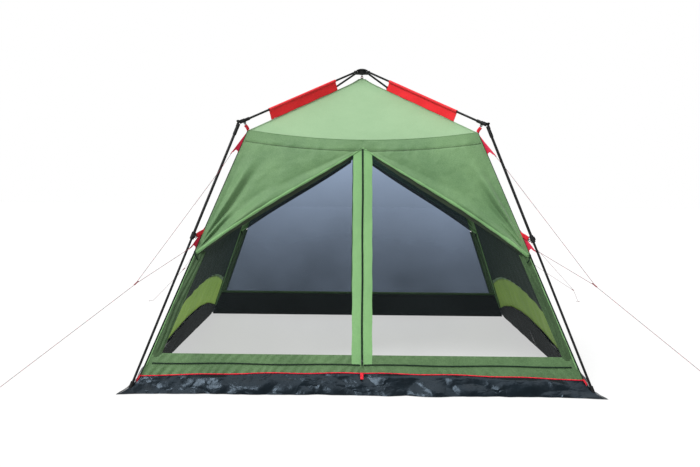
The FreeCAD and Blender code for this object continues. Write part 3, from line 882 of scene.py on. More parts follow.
@dataclass
class DoorWall:
    """Front or rear wall: tied-back storm flaps, mesh door, strips, zips and border."""

    side: Side
    finishes: Finishes
    strip: float = 0.067
    corner_strip: float = 0.072
    band_depth: float = 0.075

    @property
    def mesh_low(self) -> float:
        """Height of the mesh's lower edge."""
        return MESH_FRONT_Z if self.side is Side.FRONT else MESH_REAR_Z

    @property
    def zip_low(self) -> float:
        """Height of the level zip."""
        return ZIP_FRONT_Z if self.side is Side.FRONT else ZIP_REAR_Z

    def flap_edge(self, q: float) -> Tuple[float, float]:
        """Along and height of the held-back flap's free edge."""
        along = half_width(TIE_Z) * q
        z = DOOR_APEX_Z + (TIE_Z - DOOR_APEX_Z) * q + 0.050 * math.sin(math.pi * q) * q
        return along, z

    def flap(self, hand: int, u: float, v: float) -> Spot:
        """Point of the storm flap.

        Args:
            hand: which half of the wall.
            u: share of the way from the middle to the corner.
            v: share of the way from the eave to the free edge.

        Returns:
            The point and its flat position.
        """
        top = ROOF_CORNER * u
        top_z = eave_z(top)
        low, low_z = self.flap_edge(u)
        share = v ** 1.15
        along = top + (low - top) * share
        z = top_z + (low_z - top_z) * share
        tie_along, tie_z = half_width(TIE_Z), TIE_Z
        reach = math.hypot(tie_along - along, z - tie_z)
        angle = math.atan2(z - tie_z, tie_along - along)
        spread = math.exp(-(reach / 0.55) ** 2)
        drape = math.sin(angle * 19.0 + 0.7 + 2.2 * noise.noise(Vector((reach * 2.0, hand, 3.0))))
        drape += 0.6 * math.sin(angle * 37.0 + 2.0 * noise.noise(Vector((reach * 3, hand, 9.0))))
        pinned = smooth(v / 0.16) * smooth((half_width(z) - along) / 0.05)
        folds = 0.016 * spread * drape * smooth(reach / 0.12) * pinned
        depth = (top_z - z) if top_z > z else 0.0
        header = math.exp(-((depth - self.band_depth) / 0.010) ** 2)
        folds -= 0.004 * header * smooth(v / 0.05)
        folds += 0.0025 * math.sin(along * 62 + 2 * crease(Vector((along, z, 1)), 9.0)) \
            * math.exp(-((depth - self.band_depth) / 0.03) ** 2)
        run = smooth(reach / 0.2) * smooth((0.80 - reach) / 0.25)
        long_fold = 0.0
        for height, heading, width in LONG_FOLDS:
            long_fold += height * math.exp(-((angle - heading) / width) ** 2) * run
        point = on_wall(self.side, hand * along, z)
        crumple = 0.0045 * crease(point, 9.0, 2.0) + 0.002 * crease(point, 26.0, 5.0)
        belly = 0.040 * math.sin(math.pi * min(1.0, v * 0.92)) * math.sin(math.pi * u * 0.95)
        out = 0.008 + belly * 0.8 + pinned * (folds + long_fold + crumple)
        out += 0.030 * smooth((v - 0.75) / 0.25) * smooth(u / 0.3) * smooth((1 - u) / 0.08)
        out = max(out, 0.006) if v > 0.12 else max(out, 0.001)
        point = on_wall(self.side, hand * along, z, out)
        return point, (hand * along, z * 1.07)

    def build_flap(self, hand: int, corner: Corner) -> None:
        """Make one storm flap, its rolled edge, the gathered cloth behind it and its tie."""
        tag = tag_of(self.side, corner)

        def place(u: float, v: float) -> Spot:
            return self.flap(hand, u, v)

        flap = cloth("storm_flap_" + tag, 120, 120, place, self.finishes.wall, self.side.outward)
        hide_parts("%s_storm_flaps" % self.side.label)
        hang_sheet(flap,
                   corner)

        header = []
        for index in range(57):
            q = 0.008 + 0.980 * index / 56
            low_z = self.flap_edge(q)[1]
            share = min(1.0, self.band_depth / (eave_z(ROOF_CORNER * q) - low_z))
            point, _ = self.flap(hand, q, share ** (1 / 1.15))
            header.append(point + self.side.outward * 0.0022)
        up = (on_wall(self.side, 0, 1) - on_wall(self.side, 0, 0)).normalized()
        stitched = ribbon("header_seam_" + tag, header, up, 0.007, 0.0012,
                          self.finishes.border, self.side.outward)
        hang(stitched, corner)

        roll = [self.flap(hand, min(index / 72, 0.985), 1.0)[0] + Vector((0, 0, -0.004))
                - self.side.outward * 0.004 for index in range(73)]
        edge = tube_along("flap_roll_" + tag, roll,
                          lambda s: 0.0065 + 0.005 * smooth(s * 1.4) + 0.0012 * math.sin(s * 60),
                          self.finishes.strip, 12)
        hang(edge, corner)

        def under(u: float, v: float) -> Spot:
            q = 0.07 + 0.905 * u
            start, _ = self.flap(hand, q, 1.0)
            drop = (0.014 + 0.034 * math.sin(math.pi * min(1.0, q * 0.9 + 0.05)) ** 0.8) * v
            pleat = 0.008 * math.sin(q * 46 + 1.5 * v) * v
            back = self.side.outward * (-0.008 - 0.004 * v + pleat * 0.5)
            return start + back + Vector((0, 0, -drop)), (hand * q * 1.3, v * 0.08)

        # the gathered cloth below the flap's edge is drawn in the dark under-side green, painted
        # shade under the flap
        gather = cloth("flap_gather_" + tag, 110, 10, under, self.finishes.under_shade,
                       self.side.outward)
        hang(gather, corner)

        knot = []
        centre = on_wall(self.side, hand * (half_width(TIE_Z) - 0.018), TIE_Z - 0.004, 0.020)
        for index in range(25):
            angle = math.tau * index / 24
            knot.append(centre + self.side.outward * (0.020 * math.cos(angle))
                        + Vector((0, 0, 0.026 * math.sin(angle)))
                        + (on_wall(self.side, hand, 1) - on_wall(self.side, 0, 1))
                        * (0.010 * math.sin(angle)))
        tie = tube_along("flap_tie_" + tag, knot, lambda s: 0.0045, self.finishes.tape, 8)
        hang(tie, corner)

    def build_mesh(self, hand: int, corner: Corner) -> None:
        """Make one mesh door half."""
        tag = tag_of(self.side, corner)

        def place(u: float, v: float) -> Spot:
            high = EAVE_MID_Z + 0.02 * u
            z = self.mesh_low + (high - self.mesh_low) * v
            inner = self.strip - 0.004
            along = inner + (half_width(z) - self.corner_strip + 0.006 - inner) * u
            slack = -0.012 * math.sin(math.pi * u) * math.sin(math.pi * min(1, v * 1.1))
            ripple = 0.003 * crease(Vector((along, z, hand)), 4.0)
            return on_wall(self.side, hand * along, z, slack + ripple - 0.002), (along, z)

        finish = self.finishes.mesh if self.side is Side.FRONT else self.finishes.window
        panel = cloth("mesh_door_" + tag, 36, 44, place, finish, self.side.outward)
        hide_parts("%s_mesh_doors" % self.side.label)
        hang_sheet(panel,
                   corner)

    def build_strips(self, hand: int, corner: Corner) -> None:
        """Make the strip beside the zip and the strip along the corner edge."""
        tag = tag_of(self.side, corner)

        def beside_zip(u: float, v: float) -> Spot:
            z = self.mesh_low - 0.06 + (DOOR_APEX_Z + 0.01 - self.mesh_low + 0.06) * v
            along = 0.0035 + (self.strip - 0.0035) * u
            along += 0.0012 * math.sin(z * 31) * u
            puff = 0.0015 * math.sin(math.pi * u) + 0.0016 * crease(Vector((along, z, 2)), 18.0)
            return on_wall(self.side, hand * along, z, 0.004 + puff), (along, z)

        strip = cloth("door_strip_" + tag, 8, 90, beside_zip, self.finishes.strip,
                      self.side.outward)
        hang_sheet(strip,
                   corner)

        def at_corner(u: float, v: float) -> Spot:
            low = self.mesh_low - 0.02
            z = low + (TIE_Z + 0.02 - low) * v
            along = half_width(z) - self.corner_strip * (1 - u) - 0.002
            fold = 0.010 * math.sin(u * 8 + 4 * noise.noise(Vector((z * 3, hand, 0))))
            fold += 0.003 * crease(Vector((along, z, 3.0)), 30.0)
            fold *= smooth(v / 0.1) * smooth((1 - u) / 0.2) * smooth(u / 0.2)
            return on_wall(self.side, hand * along, z, 0.004 + abs(fold)), (along, z)

        # the corner strip's deeper green is painted shade on its shadowed side
        edge = cloth("corner_strip_" + tag, 18, 80, at_corner, self.finishes.seam,
                     self.side.outward)
        hang_sheet(edge,
                   corner)

    def build_border(self, hand: int, corner: Corner) -> None:
        """Make the cloth border between the mesh and the hem."""
        tag = tag_of(self.side, corner)

        def place(u: float, v: float) -> Spot:
            low = hem_z(self.side, u)
            z = low + (self.mesh_low - low) * v
            along = half_width(z) * u
            pucker = math.sin(along * 105 + z * 75 + 5 * crease(Vector((along, 0, 0)), 5.0))
            gate = 0.5 + 0.5 * crease(Vector((along, z, 4.0)), 5.0)
            zip_share = abs(z - self.zip_low) / 0.05
            out = 0.003 + 0.0055 * pucker * gate * min(1.0, zip_share) * smooth((1 - v) / 0.15)
            return on_wall(self.side, hand * along, z, out), (hand * along, z)

        if self.side is Side.REAR:
            build_facing(self.side, hand, corner, self.finishes,
                         lambda u: self.mesh_low - 0.020)
        border = cloth("door_border_" + tag, 220, 16, place, self.finishes.border,
                       self.side.outward)
        hang_sheet(border,
                   corner)

    def zip_line(self, level: bool, hand: int, share: float) -> Vector:
        """Point on a zip: the level zip of one half, or the upright zip."""
        if level:
            along = 0.012 + (half_width(self.zip_low) - 0.05) * share
            dip = 0.0025 * math.sin(along * 9 + self.side.value)
            return on_wall(self.side, hand * along, self.zip_low + dip, 0.0065)
        z = self.zip_low + 0.002 + (DOOR_APEX_Z - 0.015 - self.zip_low) * share
        return on_wall(self.side, 0.0012 * math.sin(z * 11), z, 0.0075)

    def build_zip(self, level: bool, hand: int, corner: Corner) -> None:
        """Make one zip: woven tape with a row of small coils down its middle."""
        kind = "level" if level else "upright"
        tag = tag_of(self.side, corner)
        line = [self.zip_line(level, hand, step / 60) for step in range(61)]
        level_way = along_wall(self.side)
        upright_way = up_wall(self.side)
        across = upright_way if level else level_way
        heading = level_way if level else upright_way
        tape = ribbon("zip_tape_%s_%s" % (kind, tag), line, across, 0.008 if level else 0.012,
                      0.001, self.finishes.tape, self.side.outward)
        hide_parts("door_zips")
        hang(tape, corner)
        teeth = bmesh.new()
        length = sum((b - a).length for a, b in zip(line, line[1:]))
        count = int(length / TOOTH_PITCH)
        normal = heading.cross(across)
        basis = Matrix((heading, across, normal)).transposed().to_4x4()
        for index in range(count):
            spot = self.zip_line(level, hand, (index + 0.5) / count)
            cube = bmesh.ops.create_cube(teeth, size=1.0)
            bmesh.ops.scale(teeth, vec=Vector(TOOTH), verts=cube["verts"])
            place = Matrix.Translation(spot + self.side.outward * 0.0012) @ basis
            bmesh.ops.transform(teeth, matrix=place, verts=cube["verts"])
        bmesh.ops.recalc_face_normals(teeth, faces=teeth.faces)
        coils = shown("zip_coil_%s_%s" % (kind, tag), teeth, self.finishes.coil)
        for polygon in coils.data.polygons:
            polygon.use_smooth = False
        hang(coils, corner)

    def build_slider(self, corner: Corner) -> None:
        """Make the slider with its bridge and pull tab, on its own body."""
        label = "%s_zip" % self.side.label
        z = SLIDER_FRONT_Z if self.side is Side.FRONT else SLIDER_REAR_Z
        level_way = along_wall(self.side)
        up = up_wall(self.side)
        normal = level_way.cross(up)
        if normal.dot(self.side.outward) < 0:
            level_way = -level_way
            normal = level_way.cross(up)
        basis = Matrix((level_way, up, normal)).transposed().to_4x4()
        spot = on_wall(self.side, 0.0, z, 0.012)
        mesh = bmesh.new()
        rounded_box(mesh, (0.012, 0.018, 0.0035), Matrix.Translation(spot) @ basis)
        rounded_box(mesh, (0.003, 0.012, 0.003),
                    Matrix.Translation(spot + normal * 0.003) @ basis, 0.0006)
        rounded_box(mesh, (0.0065, 0.030, 0.0018),
                    Matrix.Translation(spot - up * 0.016 + normal * 0.0042) @ basis, 0.0006)
        slider = shown(label + "_slider_body", mesh, self.finishes.enamel)
        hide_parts(label + "_slider")
        hang(slider, corner, label)

    def build_tab(self, corner: Corner) -> None:
        """Make the small webbing tab sewn under the middle of the hem."""
        low = hem_z(self.side, 0.0)
        line = [on_wall(self.side, 0.0, low + 0.006 - 0.034 * share, 0.009 + 0.028 * share)
                for share in (0.0, 0.25, 0.5, 0.75, 1.0)]
        level_way = along_wall(self.side)
        tab = ribbon("hem_tab_%s" % self.side.label, line, level_way, 0.020, 0.0018,
                     self.finishes.webbing, self.side.outward)
        hang(tab, corner)

    def build(self) -> None:
        """Make the whole wall."""
        main = Corner.FRONT_LEFT if self.side is Side.FRONT else Corner.REAR_RIGHT
        for corner in Corner:
            for side, hand in corner.walls:
                if side is not self.side:
                    continue
                self.build_flap(hand, corner)
                self.build_mesh(hand, corner)
                self.build_strips(hand, corner)
                self.build_border(hand, corner)
                self.build_zip(True, hand, corner)
                if corner is main:
                    self.build_zip(False, hand, corner)
                    self.build_slider(corner)
                    self.build_tab(corner)
        LOG.info("%s door wall built", self.side.label)


@dataclass
class SideWall:
    """Closed side wall: cloth, an inner mesh darkened as painted shade, zipped storm panel outline
    and thin border.
    """

    side: Side
    finishes: Finishes

    def border_z(self, share: float) -> float:
        """Height of the border's upper edge."""
        return 0.35 + 0.18 * (1 - share ** 2)

    def upper(self, hand: int, u: float, v: float, out: float) -> Spot:
        """Point of the main cloth between its border and the eave."""
        low = self.border_z(u)
        high = eave_z(ROOF_CORNER * u)
        z = low + (high - low) * v
        along = half_width(z) * u
        point = on_wall(self.side, hand * along, z)
        sag = math.sin(math.pi * u) * math.sin(math.pi * v)
        swell = -0.022 * sag + 0.006 * crease(point, 3.0, 4.0) * smooth((1 - u) / 0.06)
        pull = 0.004 * math.sin(u * 34 + 2 * crease(point, 2.0)) * (1 - v) ** 2
        out += swell + pull * smooth((1 - u) / 0.1)
        return on_wall(self.side, hand * along, z, out), (hand * along, z)

    def build(self) -> None:
        """Make both halves."""
        for corner in Corner:
            for side, hand in corner.walls:
                if side is not self.side:
                    continue
                self.build_half(hand, corner)
        LOG.info("%s side wall built", self.side.label)

    def build_half(self, hand: int, corner: Corner) -> None:
        """Make one half of the wall."""
        tag = tag_of(self.side, corner)

        def main(u: float, v: float) -> Spot:
            return self.upper(hand, u, v, 0.0)

        panel = cloth("side_cloth_" + tag, 70, 80, main, self.finishes.wall, self.side.outward)
        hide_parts("%s_side_wall" % self.side.label)
        hang_sheet(panel,
                   corner)

        def inner(u: float, v: float) -> Spot:
            point, flat = self.upper(hand, u * 0.93, 0.01 + 0.93 * v, -0.012)
            return point, flat

        # the inner mesh's near-opaque dark green is painted shade inside the wall
        screen = cloth("side_mesh_" + tag, 50, 60, inner, self.finishes.shade_mesh,
                       self.side.outward)
        hang_sheet(screen,
                   corner)

        def low_border(u: float, v: float) -> Spot:
            low = hem_z(self.side, u)
            high = self.border_z(u)
            z = low + (high - low) * v
            along = half_width(z) * u
            ripple = 0.005 * math.sin(along * 30 + 2 * crease(Vector((along, z, 0)), 4.0))
            out = ripple * math.sin(math.pi * v) * smooth((1 - u) / 0.05)
            return on_wall(self.side, hand * along, z, out), (hand * along, z)

        build_facing(self.side, hand, corner, self.finishes,
                     lambda u: hem_z(self.side, u) + 0.004)
        border = cloth("side_border_" + tag, 110, 20, low_border, self.finishes.leaf,
                       self.side.outward)
        hang_sheet(border,
                   corner)

        line = []
        for step in range(41):
            share = step / 40
            point, _ = self.upper(hand, 0.90 * share, 0.03, 0.006)
            line.append(point)
        for step in range(1, 41):
            point, _ = self.upper(hand, 0.90 - 0.01 * step / 40, 0.03 + 0.83 * step / 40, 0.006)
            line.append(point)
        outline = tube_along("side_zip_" + tag, line, lambda s: 0.004, self.finishes.tape, 8)
        hang(outline, corner)

        seam = []
        for step in range(61):
            share = step / 60
            point, _ = self.upper(hand, share * 0.998, 0.0, 0.003)
            seam.append(point)
        up = (on_wall(self.side, 0, 1) - on_wall(self.side, 0, 0)).normalized()
        band = ribbon("side_seam_" + tag, seam, up, 0.012, 0.001, self.finishes.wall,
                      self.side.outward)
        hang(band, corner)


@dataclass
class Edges:
    """Eave seam, corner binding, red piping at the hem and the plastic skirt."""

    finishes: Finishes
    foot_reach: float = 1.525

    def skirt(self, side: Side, hand: int, u: float, v: float) -> Spot:
        """Point of the skirt.

        Args:
            side: the wall.
            hand: which half.
            u: share of the way from the middle to the corner.
            v: share of the way from the hem to the ground.

        Returns:
            The point and its flat position.
        """
        top_z = hem_z(side, u)
        top_along = WALL_FOOT * u
        top_out = half_width(top_z)
        tip = smooth((u - 0.86) / 0.14)
        low_along = 1.500 * u + 0.055 * tip
        seed = Vector((low_along * hand, side.value * 0.13, 0))
        low_out = self.foot_reach + 0.030 * tip + 0.016 * crease(seed, 3.2) * (1 - tip)
        along = top_along + (low_along - top_along) * v
        out = top_out + (low_out - top_out) * v
        z = top_z * (1 - v) ** (1 + 1.3 * tip)
        bulge = math.sin(math.pi * v) ** 0.8 if 0 < v < 1 else 0.0
        swell = bulge * (0.010 - 0.002 * tip)
        point = Vector((along * hand * 1.0, out + side.value, z))
        stretched = Vector((point.x * 0.55, point.y, point.z * 1.3))
        wrinkle = 0.030 * (abs(crease(stretched, 6.0)) - 0.22) + 0.005 * crease(point, 15.0, 3.0)
        slant = 0.010 * crease(Vector((along * 9.0 + z * 14.0, z * 9.0 - along * 2.0,
                                       side.value)), 1.0, 8.0)
        fade = smooth(v / 0.22) * (1 - 0.7 * tip)
        move = (wrinkle + slant) * fade
        out += swell + move
        along += (swell + 0.3 * move) * tip
        z += (0.35 * wrinkle + 0.004) * fade * (1 - v) + 0.0012
        angle = math.radians(side.value)
        place = Vector((out * math.cos(angle) - hand * along * math.sin(angle),
                        out * math.sin(angle) + hand * along * math.cos(angle), max(z, 0.001)))
        return place, (hand * along, v * 0.18)

    def build(self) -> None:
        """Make the edges of all eight wall halves."""
        for corner in Corner:
            for side, hand in corner.walls:
                self.build_half(side, hand, corner)
            self.build_binding(corner)
        LOG.info("skirt, piping and bindings built")

    def build_half(self, side: Side, hand: int, corner: Corner) -> None:
        """Make the skirt, piping and eave seam of one wall half."""
        tag = tag_of(side, corner)
        angle = math.radians(side.value)
        outward = Vector((math.cos(angle), math.sin(angle), 0.3))

        def film(u: float, v: float) -> Spot:
            return self.skirt(side, hand, u, v)

        skirt = cloth("skirt_" + tag, 260, 30, film, self.finishes.film, outward)
        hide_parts("mud_skirt")
        ride_wall(skirt, corner)

        line = []
        for step in range(101):
            share = step / 100
            z = hem_z(side, share)
            line.append(on_wall(side, hand * (half_width(z) + 0.002) * share, z, 0.005))
        pipe = tube_along("piping_" + tag, line, lambda s: 0.0036, self.finishes.piping, 8)
        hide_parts("hem_piping")
        hang(pipe, corner)

        seam = []
        for step in range(61):
            along = ROOF_CORNER * step / 60 * 0.995
            seam.append(on_wall(side, hand * along, eave_z(along), 0.006))
        band = ribbon("eave_seam_" + tag, seam, Vector((0, 0, 1)), 0.010, 0.0012,
                      self.finishes.wall, outward)
        hang(band, corner)

    def build_binding(self, corner: Corner) -> None:
        """Make the dark bound seam down one corner edge."""
        line = []
        for step in range(61):
            z = EAVE_CORNER_Z + (WALL_FOOT_Z - EAVE_CORNER_Z) * step / 60
            line.append(on_diagonal(corner, edge_r(z) + 0.003, z))
        rod = tube_along("corner_binding_%s" % corner.label, line, lambda s: 0.0045,
                         self.finishes.tape, 8)
        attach(rod, "upper_leg_%s" % corner.label)
        for side, hand in corner.walls:
            beside = []
            for step in range(61):
                z = 1.50 + (WALL_FOOT_Z + 0.06 - 1.50) * step / 60
                beside.append(on_wall(side, hand * (half_width(z) - 0.009), z, 0.0045))
            light = tube_along("corner_cord_%s_%s" % (side.label, corner.label), beside,
                               lambda s: 0.0042, self.finishes.strip, 8)
            hang(light, corner)


# ------------------------------------------------------------------ corner trim

@dataclass
class CornerTrim:
    """Sleeve on the arm, gussets and straps of one corner."""

    corner: Corner
    finishes: Finishes
    sleeve_start: float = 0.20 * ARM_LENGTH
    sleeve_end: float = 0.77 * ARM_LENGTH

    def arm_point(self, s: float, below: float, t: float) -> Vector:
        """Point beside the arm: s along it, below its axis and sideways t."""
        r = PIVOT_R + s * math.cos(ARM_SLOPE) - below * math.sin(ARM_SLOPE)
        z = PIVOT_Z - s * math.sin(ARM_SLOPE) - below * math.cos(ARM_SLOPE)
        return on_diagonal(self.corner, r, z, t)

    def sleeve_profile(self, v: float) -> Tuple[float, float, float]:
        """Drop below the arm's axis, sideways shift and girth run round the sleeve's tunnel."""
        lip, neck, radius = 0.020, 0.013, 0.0115
        straight = lip - neck
        round_run = math.tau * radius * 0.80
        run = v * (2 * straight + round_run)
        if run < straight:
            return lip - run, -0.0022, run
        if run > straight + round_run:
            return neck + run - straight - round_run, 0.0022, run
        angle = (run - straight) / round_run * math.tau * 0.94 + math.tau * 0.03
        return radius * math.cos(angle), -radius * math.sin(angle), run

    def sleeve_wave(self, s: float, below: float) -> float:
        """Sideways wave of the sleeve's cloth, wider away from the arm."""
        return (0.0035 * math.sin(s * 24) * smooth((below - 0.02) / 0.06)
                + 0.002 * crease(Vector((s, 0, 0)), 22.0))

    def build_sleeve(self) -> None:
        """Make the red tunnel round the arm and its web down to the roof's hip."""
        name = self.corner.label

        def along(u: float) -> float:
            return self.sleeve_start + (self.sleeve_end - self.sleeve_start) * u

        def tunnel(u: float, v: float) -> Spot:
            below, t, run = self.sleeve_profile(v)
            s = along(u)
            return self.arm_point(s, below, t + self.sleeve_wave(s, below)), (s, run)

        def web(u: float, v: float) -> Spot:
            s, below = along(u), 0.016 + 0.060 * v
            return self.arm_point(s, below, self.sleeve_wave(s, below)), (s, below)

        sleeve = cloth("hip_sleeve_%s" % name, 90, 44, tunnel, self.finishes.sleeve,
                       Vector((0, 0, 1)))
        mesh = sleeve.data
        if mesh.polygons[len(mesh.polygons) // 2].normal.z < 0:
            mesh.flip_normals()
        flat = cloth("hip_web_%s" % name, 90, 14, web, self.finishes.sleeve,
                     on_diagonal(self.corner, 0, 0, 1.0), 0.0042)
        for item in (sleeve, flat):
            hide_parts("hip_sleeves")
            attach(item, "arm_%s" % name)
        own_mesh(flat)

    def gusset(self, label: str, high: float, low: Sequence[Tuple[float, float]]) -> None:
        """Make one gusset from its upper point and the lower edge's reach and height pairs."""

        def place(u: float, v: float) -> Spot:
            spot = u * (len(low) - 1)
            index = min(int(spot), len(low) - 2)
            share = smooth(spot - index)
            base_out = low[index][0] + (low[index + 1][0] - low[index][0]) * (spot - index)
            base_z = low[index][1] + (low[index + 1][1] - low[index][1]) * share
            z = high + (base_z - high) * v
            out = base_out * (0.04 + 0.96 * v ** 1.05)
            t = 0.006 * math.sin(u * 5.5 + v * 3) * u * v
            return on_diagonal(self.corner, edge_r(z) + out, z, t), (out, z)

        item = cloth("%s_gusset_%s" % (label, self.corner.label), 24, 26, place,
                     self.finishes.gusset, on_diagonal(self.corner, 0, 0, 1.0), 0.0014)
        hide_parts("red_gussets")
        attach(item, "upper_leg_%s" % self.corner.label)

    def strap(self, label: str, spots: Sequence[Tuple[float, float]], body: str,
              width: float = 0.020, shift: float = 0.0,
              upright: bool = False) -> bpy.types.Object:
        """Make one webbing strap through (r, z) spots of the diagonal plane.

        Args:
            label: name of the strap.
            spots: spots it passes.
            body: body it rides on, or nothing.
            width: its width.
            shift: sideways shift from the diagonal plane.
            upright: whether its width stands in the diagonal plane.

        Returns:
            The strap.
        """
        line = []
        for index in range(len(spots) - 1):
            for step in range(6):
                share = step / 6
                r = spots[index][0] + (spots[index + 1][0] - spots[index][0]) * share
                z = spots[index][1] + (spots[index + 1][1] - spots[index][1]) * share
                line.append(on_diagonal(self.corner, r, z, shift))
        line.append(on_diagonal(self.corner, spots[-1][0], spots[-1][1], shift))
        for _ in range(3):
            line = [line[0]] + [(a + b * 2 + c) / 4 for a, b, c in zip(line, line[1:], line[2:])
                                ] + [line[-1]]
        sideways = on_diagonal(self.corner, 0, 0, 1.0)
        across = (line[-1] - line[0]).cross(sideways).normalized() if upright else sideways
        facing = sideways if upright else on_diagonal(self.corner, 1, 0.3)
        item = ribbon("%s_strap_%s" % (label, self.corner.label), line, across, width, 0.0018,
                      self.finishes.webbing, facing)
        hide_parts("webbing_straps")
        if body:
            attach(item, body)
        return item

    def build(self) -> None:
        """Make all trim of this corner."""
        name = self.corner.label
        self.build_sleeve()
        self.gusset("upper", 1.710, ((0.0, 1.528), (0.014, 1.566), (0.034, 1.574), (0.054, 1.556),
                                     (0.073, 1.542)))
        self.gusset("middle", 1.052, ((0.0, 0.866), (0.016, 0.902), (0.034, 0.912),
                                      (0.050, 0.896), (0.064, 0.884)))
        eye_r = ELBOW_R - 0.048 * math.cos(ARM_SLOPE) - 0.021 * math.sin(ARM_SLOPE)
        eye_z = ELBOW_Z + 0.048 * math.sin(ARM_SLOPE) - 0.021 * math.cos(ARM_SLOPE)
        corner_r = edge_r(EAVE_CORNER_Z)
        for shift, tag in ((-0.003, "near"), (0.003, "far")):
            self.strap("eave_" + tag, ((corner_r + 0.001, EAVE_CORNER_Z + 0.003),
                                       (corner_r + 0.010, EAVE_CORNER_Z + 0.020),
                                       (eye_r - 0.003, eye_z - 0.013)),
                       "arm_%s" % name, 0.022, shift, True)
        for shift, tag in ((-0.004, "near"), (0.004, "far")):
            self.strap("hook_" + tag, ((edge_r(1.02) - 0.002, 1.008), (edge_r(1.0) + 0.026, 0.994),
                                       (1.602, 0.977)), "upper_leg_%s" % name, 0.028, shift,
                       True)
        foot = self.strap("foot", ((edge_r(0.10) + 0.006, 0.098), (edge_r(0.07) + 0.016, 0.070),
                                   (2.058, 0.046), (2.066, 0.034)), "", 0.020)
        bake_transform(foot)
        LOG.info("trim of %s built", name)


# ------------------------------------------------------------------ guy lines

@dataclass
class GuyLine:
    """Bridle, runner and single line of one corner, on the route of the frame's plan."""

    corner: Corner
    finishes: Finishes
    runner_r: float
    runner_z: float
    ground_r: float
    radius: float = 0.0014
    ring: float = 0.005
    leg_gap: float = 0.0148
    hold: float = 0.017

    def local(self, point: Vector) -> Vector:
        """Turn a point of the upright diagonal plane to its corner."""
        return on_diagonal(self.corner, point.x, point.z, point.y)

    def beside_leg(self, start: Vector, meeting: Vector) -> Vector:
        """Where the cord passes beside the leg."""
        run = meeting - start
        lean = math.tan(LEG_LEAN)
        share = (FOOT_R - start.z * lean - start.x) / (run.x + run.z * lean)
        point = start + run * share
        return Vector((point.x, self.leg_gap, point.z))

    def line_of(self, name: str, points: Sequence[Vector]) -> List[Vector]:
        """Lay a smooth spline on the route's points and read its centre line back.

        Args:
            name: name of the cord.
            points: the route, as the spline's control points.

        Returns:
            Points of the centre line.
        """
        data = bpy.data.curves.new(name + "_route", "CURVE")
        data.dimensions = "3D"
        data.resolution_u = 10
        spline = data.splines.new("NURBS")
        spline.points.add(len(points) - 1)
        for control, point in zip(spline.points, points):
            control.co = (*self.local(point), 1.0)
        spline.order_u = 3
        spline.use_endpoint_u = True
        holder = bpy.data.objects.new(name + "_route", data)
        bpy.context.scene.collection.objects.link(holder)
        bpy.context.view_layer.update()
        made = bpy.data.meshes.new_from_object(holder)
        line = [vert.co.copy() for vert in made.vertices]
        bpy.data.objects.remove(holder)
        bpy.data.curves.remove(data)
        bpy.data.meshes.remove(made)
        return line

    def cord(self, name: str, points: Sequence[Vector]) -> None:
        line = self.line_of(name, points)
        item = tube_along(name + "_braid", line, lambda s: self.radius, self.finishes.braid, 8)
        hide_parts(name)
        self.follow(item)

    def follow(self, item: bpy.types.Object) -> None:
        """Ride the upper leg, with its own copy of the mesh."""
        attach(item, "upper_leg_%s" % self.corner.label)
        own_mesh(item)

    def build(self) -> None:
        """Make the bridle, the runner and the line to the ground."""
        name = self.corner.label
        upper = Vector((edge_r(1.555) + 0.060, 0.0032, 1.555))
        middle = Vector((edge_r(0.905) + 0.050, 0.0032, 0.907))
        meeting = Vector((self.runner_r, 0, self.runner_z))
        high = self.beside_leg(upper, meeting)
        low = self.beside_leg(middle, meeting)
        to_high = (high - meeting).normalized()
        to_low = (low - meeting).normalized()
        toward = (to_high + to_low).normalized()
        opening = to_high.angle(to_low) / 2
        near = (self.ring / math.sin(opening) - self.ring) / math.cos(opening)
        self.cord("guy_bridle_%s" % name,
                  [upper, high + (upper - high).normalized() * self.hold, high,
                   high - to_high * self.hold, meeting + to_high * (near + self.hold),
                   meeting + to_high * near, meeting + to_low * near,
                   meeting + to_low * (near + self.hold), low - to_low * self.hold, low,
                   low + (middle - low).normalized() * self.hold, middle])
        centre = meeting + toward * (self.ring / math.sin(opening))
        self.build_runner(centre, -toward)
        start = centre - toward * 0.0366
        ground = Vector((self.ground_r, 0, 0.0018))
        tail = ground + Vector((0.040, 0, 0))
        bend = tail + Vector((0, 0.030, 0))
        back = bend + Vector((-0.030, 0, 0))
        self.cord("guy_line_%s" % name,
                  [start, ground + (start - ground).normalized() * 0.040, ground, tail, bend,
                   back])
        LOG.info("guy lines of %s built", name)

    def build_runner(self, centre: Vector, outward: Vector) -> None:
        """Make the moulded plate that joins the bridle and the single line."""
        across = Vector((0, 1, 0))
        facing = outward.cross(across).normalized()
        mesh = bmesh.new()
        for offset, size in (((0.0, 0.0, 0.0), (0.004, 0.014, 0.0035)),
                             ((0.0335, 0.0, 0.0), (0.005, 0.014, 0.0035)),
                             ((0.0170, 0.0050, 0.0), (0.034, 0.004, 0.0035)),
                             ((0.0170, -0.0050, 0.0), (0.034, 0.004, 0.0035)),
                             ((0.0170, 0.0, 0.0), (0.012, 0.010, 0.0035))):
            rounded_box(mesh, size, Matrix.Translation(offset), 0.0009)
        basis = Matrix((outward, across, facing)).transposed().to_4x4()
        bmesh.ops.transform(mesh, matrix=Matrix.Translation(centre) @ basis, verts=mesh.verts)
        turn = Matrix.Rotation(math.radians(self.corner.value), 4, "Z")
        bmesh.ops.transform(mesh, matrix=turn, verts=mesh.verts)
        item = shown("runner_%s" % self.corner.label, mesh, self.finishes.runner)
        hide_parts("line_runners")
        self.follow(item)


# ------------------------------------------------------------------ frame fittings

